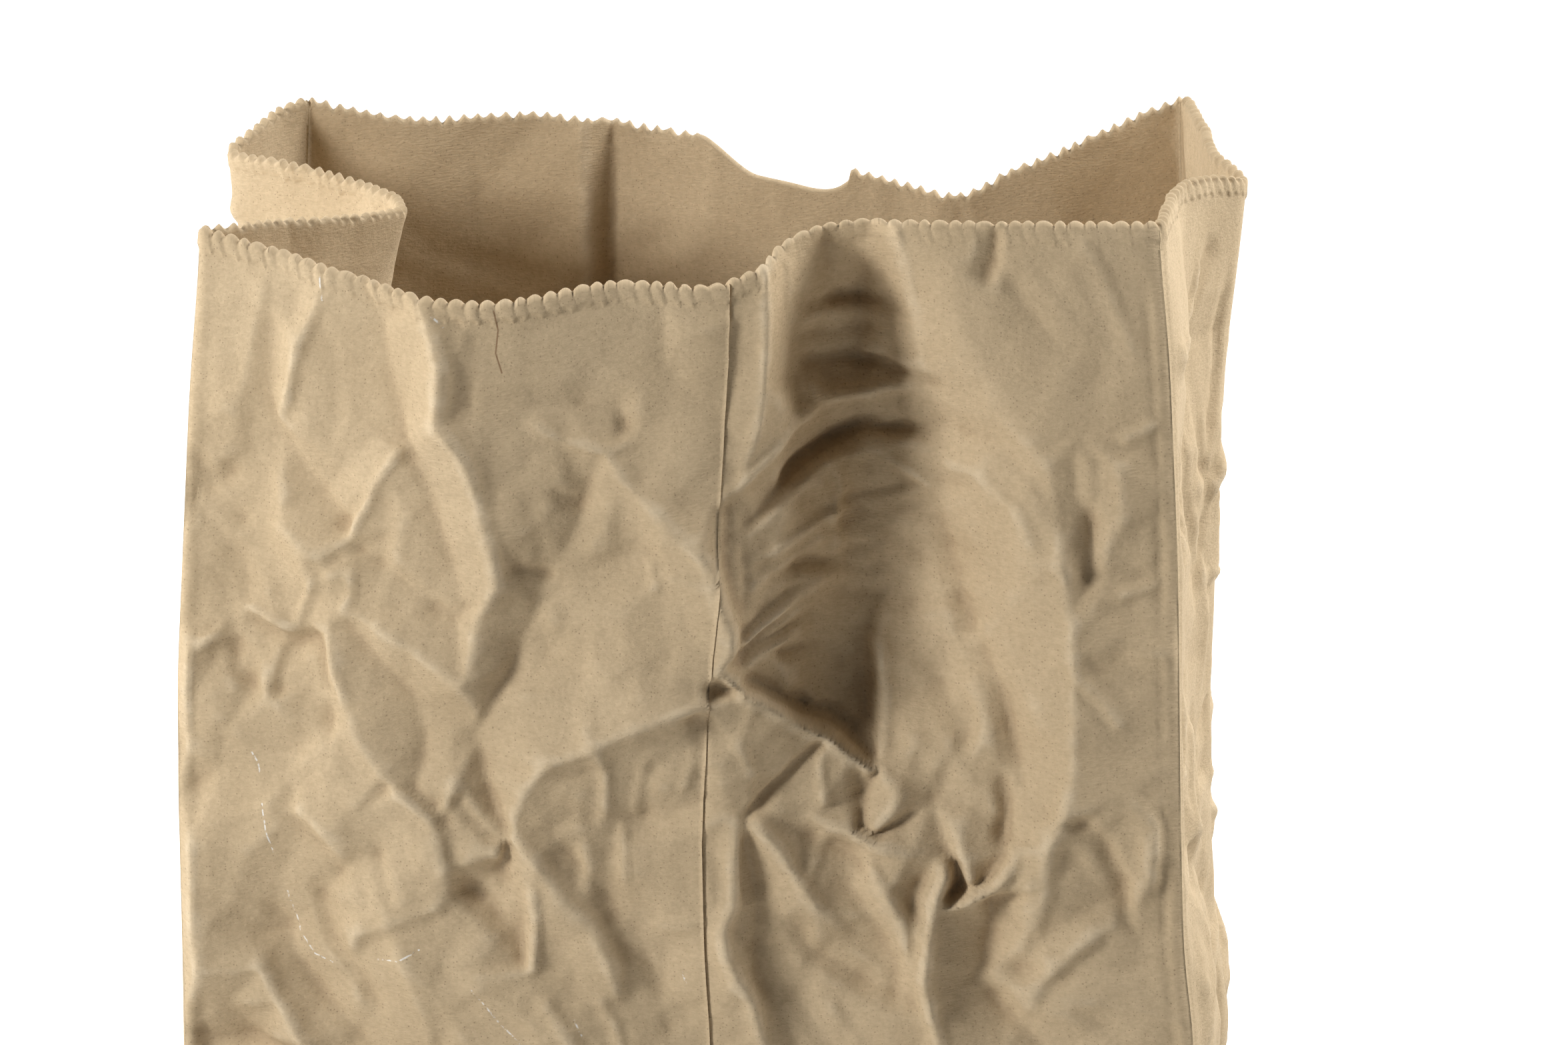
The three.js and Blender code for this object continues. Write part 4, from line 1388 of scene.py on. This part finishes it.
def add_flaps():
    add_layer(
        "rear_flap_sheet", "bottom_rear_flap", KRAFT_BOTTOM, "kraft_bottom", -OVERLAP, HALF_DEPTH,
        straight(-HALF_WIDTH), straight(HALF_WIDTH), even(0), thinned,
    )
    add_layer(
        "front_flap_sheet", "bottom_front_flap", KRAFT_BOTTOM, "kraft_bottom", -HALF_DEPTH, OVERLAP,
        lambda y: -HALF_WIDTH + 1.6 * climb(y + 4), lambda y: HALF_WIDTH - 1.6 * climb(y + 4),
        lambda x, y: FRONT_FLAP_LEVEL * climb(y),
        lambda x, y: thinned(x, y) * (1 - climb(y)) + FLAP * climb(y),
    )
    add_layer(
        "flap_paste", "flap_paste_strip", PASTE, "paste", -OVERLAP + 4, OVERLAP - 4,
        straight(-HALF_WIDTH + 12), straight(HALF_WIDTH - 12), even(FLAP + GLUED_GAP), even(PASTE_DEPTH),
    )


def add_tuck(side, x_sign):
    """The tuck of one side, with 45-degree ends, and the dab of paste under it."""
    def slanted(y):
        slant = np.clip(np.abs(y) - (TUCK_HALF - TUCK_REACH), 0, None)
        return x_sign * (TUCK_ROOT - TUCK_REACH + min(slant, TUCK_REACH - 4.0))

    ends = (straight(x_sign * TUCK_ROOT), slanted)
    add_layer(
        f"{side}_tuck_sheet", f"bottom_{side}_tuck", KRAFT_BOTTOM, "kraft_bottom", -TUCK_HALF, TUCK_HALF,
        *(ends if x_sign < 0 else ends[::-1]), even(TUCK_LEVEL), even(FLAP),
    )
    middle = x_sign * DAB_MIDDLE
    add_layer(
        f"{side}_tuck_dab", f"{side}_tuck_paste", PASTE, "paste", -OVERLAP + 5, OVERLAP - 5,
        straight(middle - DAB_HALF), straight(middle + DAB_HALF), even(DAB_LEVEL), even(PASTE_DEPTH),
    )


for side, x_sign in SIDES:
    add_foot(side, x_sign)
add_flaps()
for side, x_sign in SIDES:
    add_tuck(side, x_sign)


# ---------------------------------------------------------------- floor, light, camera

CAMERA_AZIMUTH, CAMERA_ELEVATION = math.radians(4.5), math.radians(16)
CAMERA_TARGET = (24.9, -67.4, 282.4)  # the upper part of the front, which fills the view
CAMERA_DISTANCE = 1752.6
LENS, SENSOR = 161, 36
FLOOR_HALF = 6000.0
FLOOR_GAP = 0.0003  # in metres


def hang(name, data, location, way):
    """Puts the camera or a lamp in its place, looking one way."""
    item = bpy.data.objects.new(name, data)
    item.location = location
    item.rotation_mode = "QUATERNION"
    item.rotation_quaternion = way.to_track_quat("-Z", "Y")
    bpy.context.scene.collection.objects.link(item)
    return item


def add_camera():
    away = math.cos(CAMERA_ELEVATION)
    back = Vector((
        math.sin(CAMERA_AZIMUTH) * away, -math.cos(CAMERA_AZIMUTH) * away, math.sin(CAMERA_ELEVATION),
    ))
    data = bpy.data.cameras.new("camera")
    data.sensor_width = SENSOR
    data.lens = LENS
    location = Vector(CAMERA_TARGET) * MM + back * (CAMERA_DISTANCE * MM)
    bpy.context.scene.camera = hang("camera", data, location, -back)


def add_light(name, location, target, size, power):
    data = bpy.data.lights.new(name, "AREA")
    data.shape = "RECTANGLE"
    data.size, data.size_y = size
    data.energy = power
    hang(name, data, location, Vector(target) - Vector(location))


def add_world():
    """A tent of white cloth, dimmer on the side where the camera stands."""
    world = bpy.data.worlds.new("studio")
    world.use_nodes = True
    tree = world.node_tree
    place = tree.nodes.new("ShaderNodeTexCoord")
    side = tree.nodes.new("ShaderNodeVectorMath")
    side.operation = "DOT_PRODUCT"
    side.inputs[1].default_value = (0.5, -0.85, -0.1)
    fade = tree.nodes.new("ShaderNodeMapRange")
    fade.interpolation_type = "SMOOTHSTEP"
    for socket, value in (("From Min", 0.55), ("From Max", -0.3), ("To Min", 0.05), ("To Max", 0.36)):
        fade.inputs[socket].default_value = value
    tree.links.new(place.outputs["Generated"], side.inputs[0])
    tree.links.new(side.outputs["Value"], fade.inputs["Value"])
    tree.links.new(fade.outputs["Result"], tree.nodes["Background"].inputs["Strength"])
    tree.nodes["Background"].inputs["Color"].default_value = (1, 1, 1, 1)
    bpy.context.scene.world = world
    bpy.context.scene.view_settings.view_transform = "Standard"


def add_floor():
    """A pale floor that runs into a white, lit backdrop behind the sack."""
    graph = Graph("pale floor")
    place = graph.add("ShaderNodeTexCoord", {}, "Object")
    tone = graph.spread(graph.noise(place, 3, 4), 0.3, 0.7)
    graph.feed(graph.shader.inputs["Base Color"], graph.mix(tone, (0.56, 0.56, 0.55), (0.6, 0.6, 0.59)))
    graph.shader.inputs["Roughness"].default_value = 0.9
    graph.shader.inputs["Specular IOR Level"].default_value = 0.1
    behind = graph.add("ShaderNodeSeparateXYZ", {"Vector": place}, "Y")
    graph.shader.inputs["Emission Color"].default_value = (1, 1, 1, 1)
    graph.feed(graph.shader.inputs["Emission Strength"], graph.spread(behind, 0.0, 0.45))
    corners = FLOOR_HALF * np.array([(-1, -1, 0), (1, -1, 0), (1, 1, 0), (-1, 1, 0)])
    floor = make_object("floor", corners, [[0, 1, 2, 3]], graph.material)
    floor.location.z = -FLOOR_GAP


def add_lights():
    centre = (0, -0.08, 0.3)
    add_light("front left window", (-0.95, -0.85, 0.78), (0, -0.08, 0.34), (0.32, 0.36), 14.5)
    add_light("left window", (-1.1, 0.2, 0.6), centre, (0.5, 0.6), 7)
    add_light("right window", (0.95, 0.15, 1.0), centre, (0.5, 0.6), 15.5)
    add_light("back window", (0.5, 1.1, 0.9), centre, (0.6, 0.6), 8)


add_camera()
add_world()
add_floor()
add_lights()
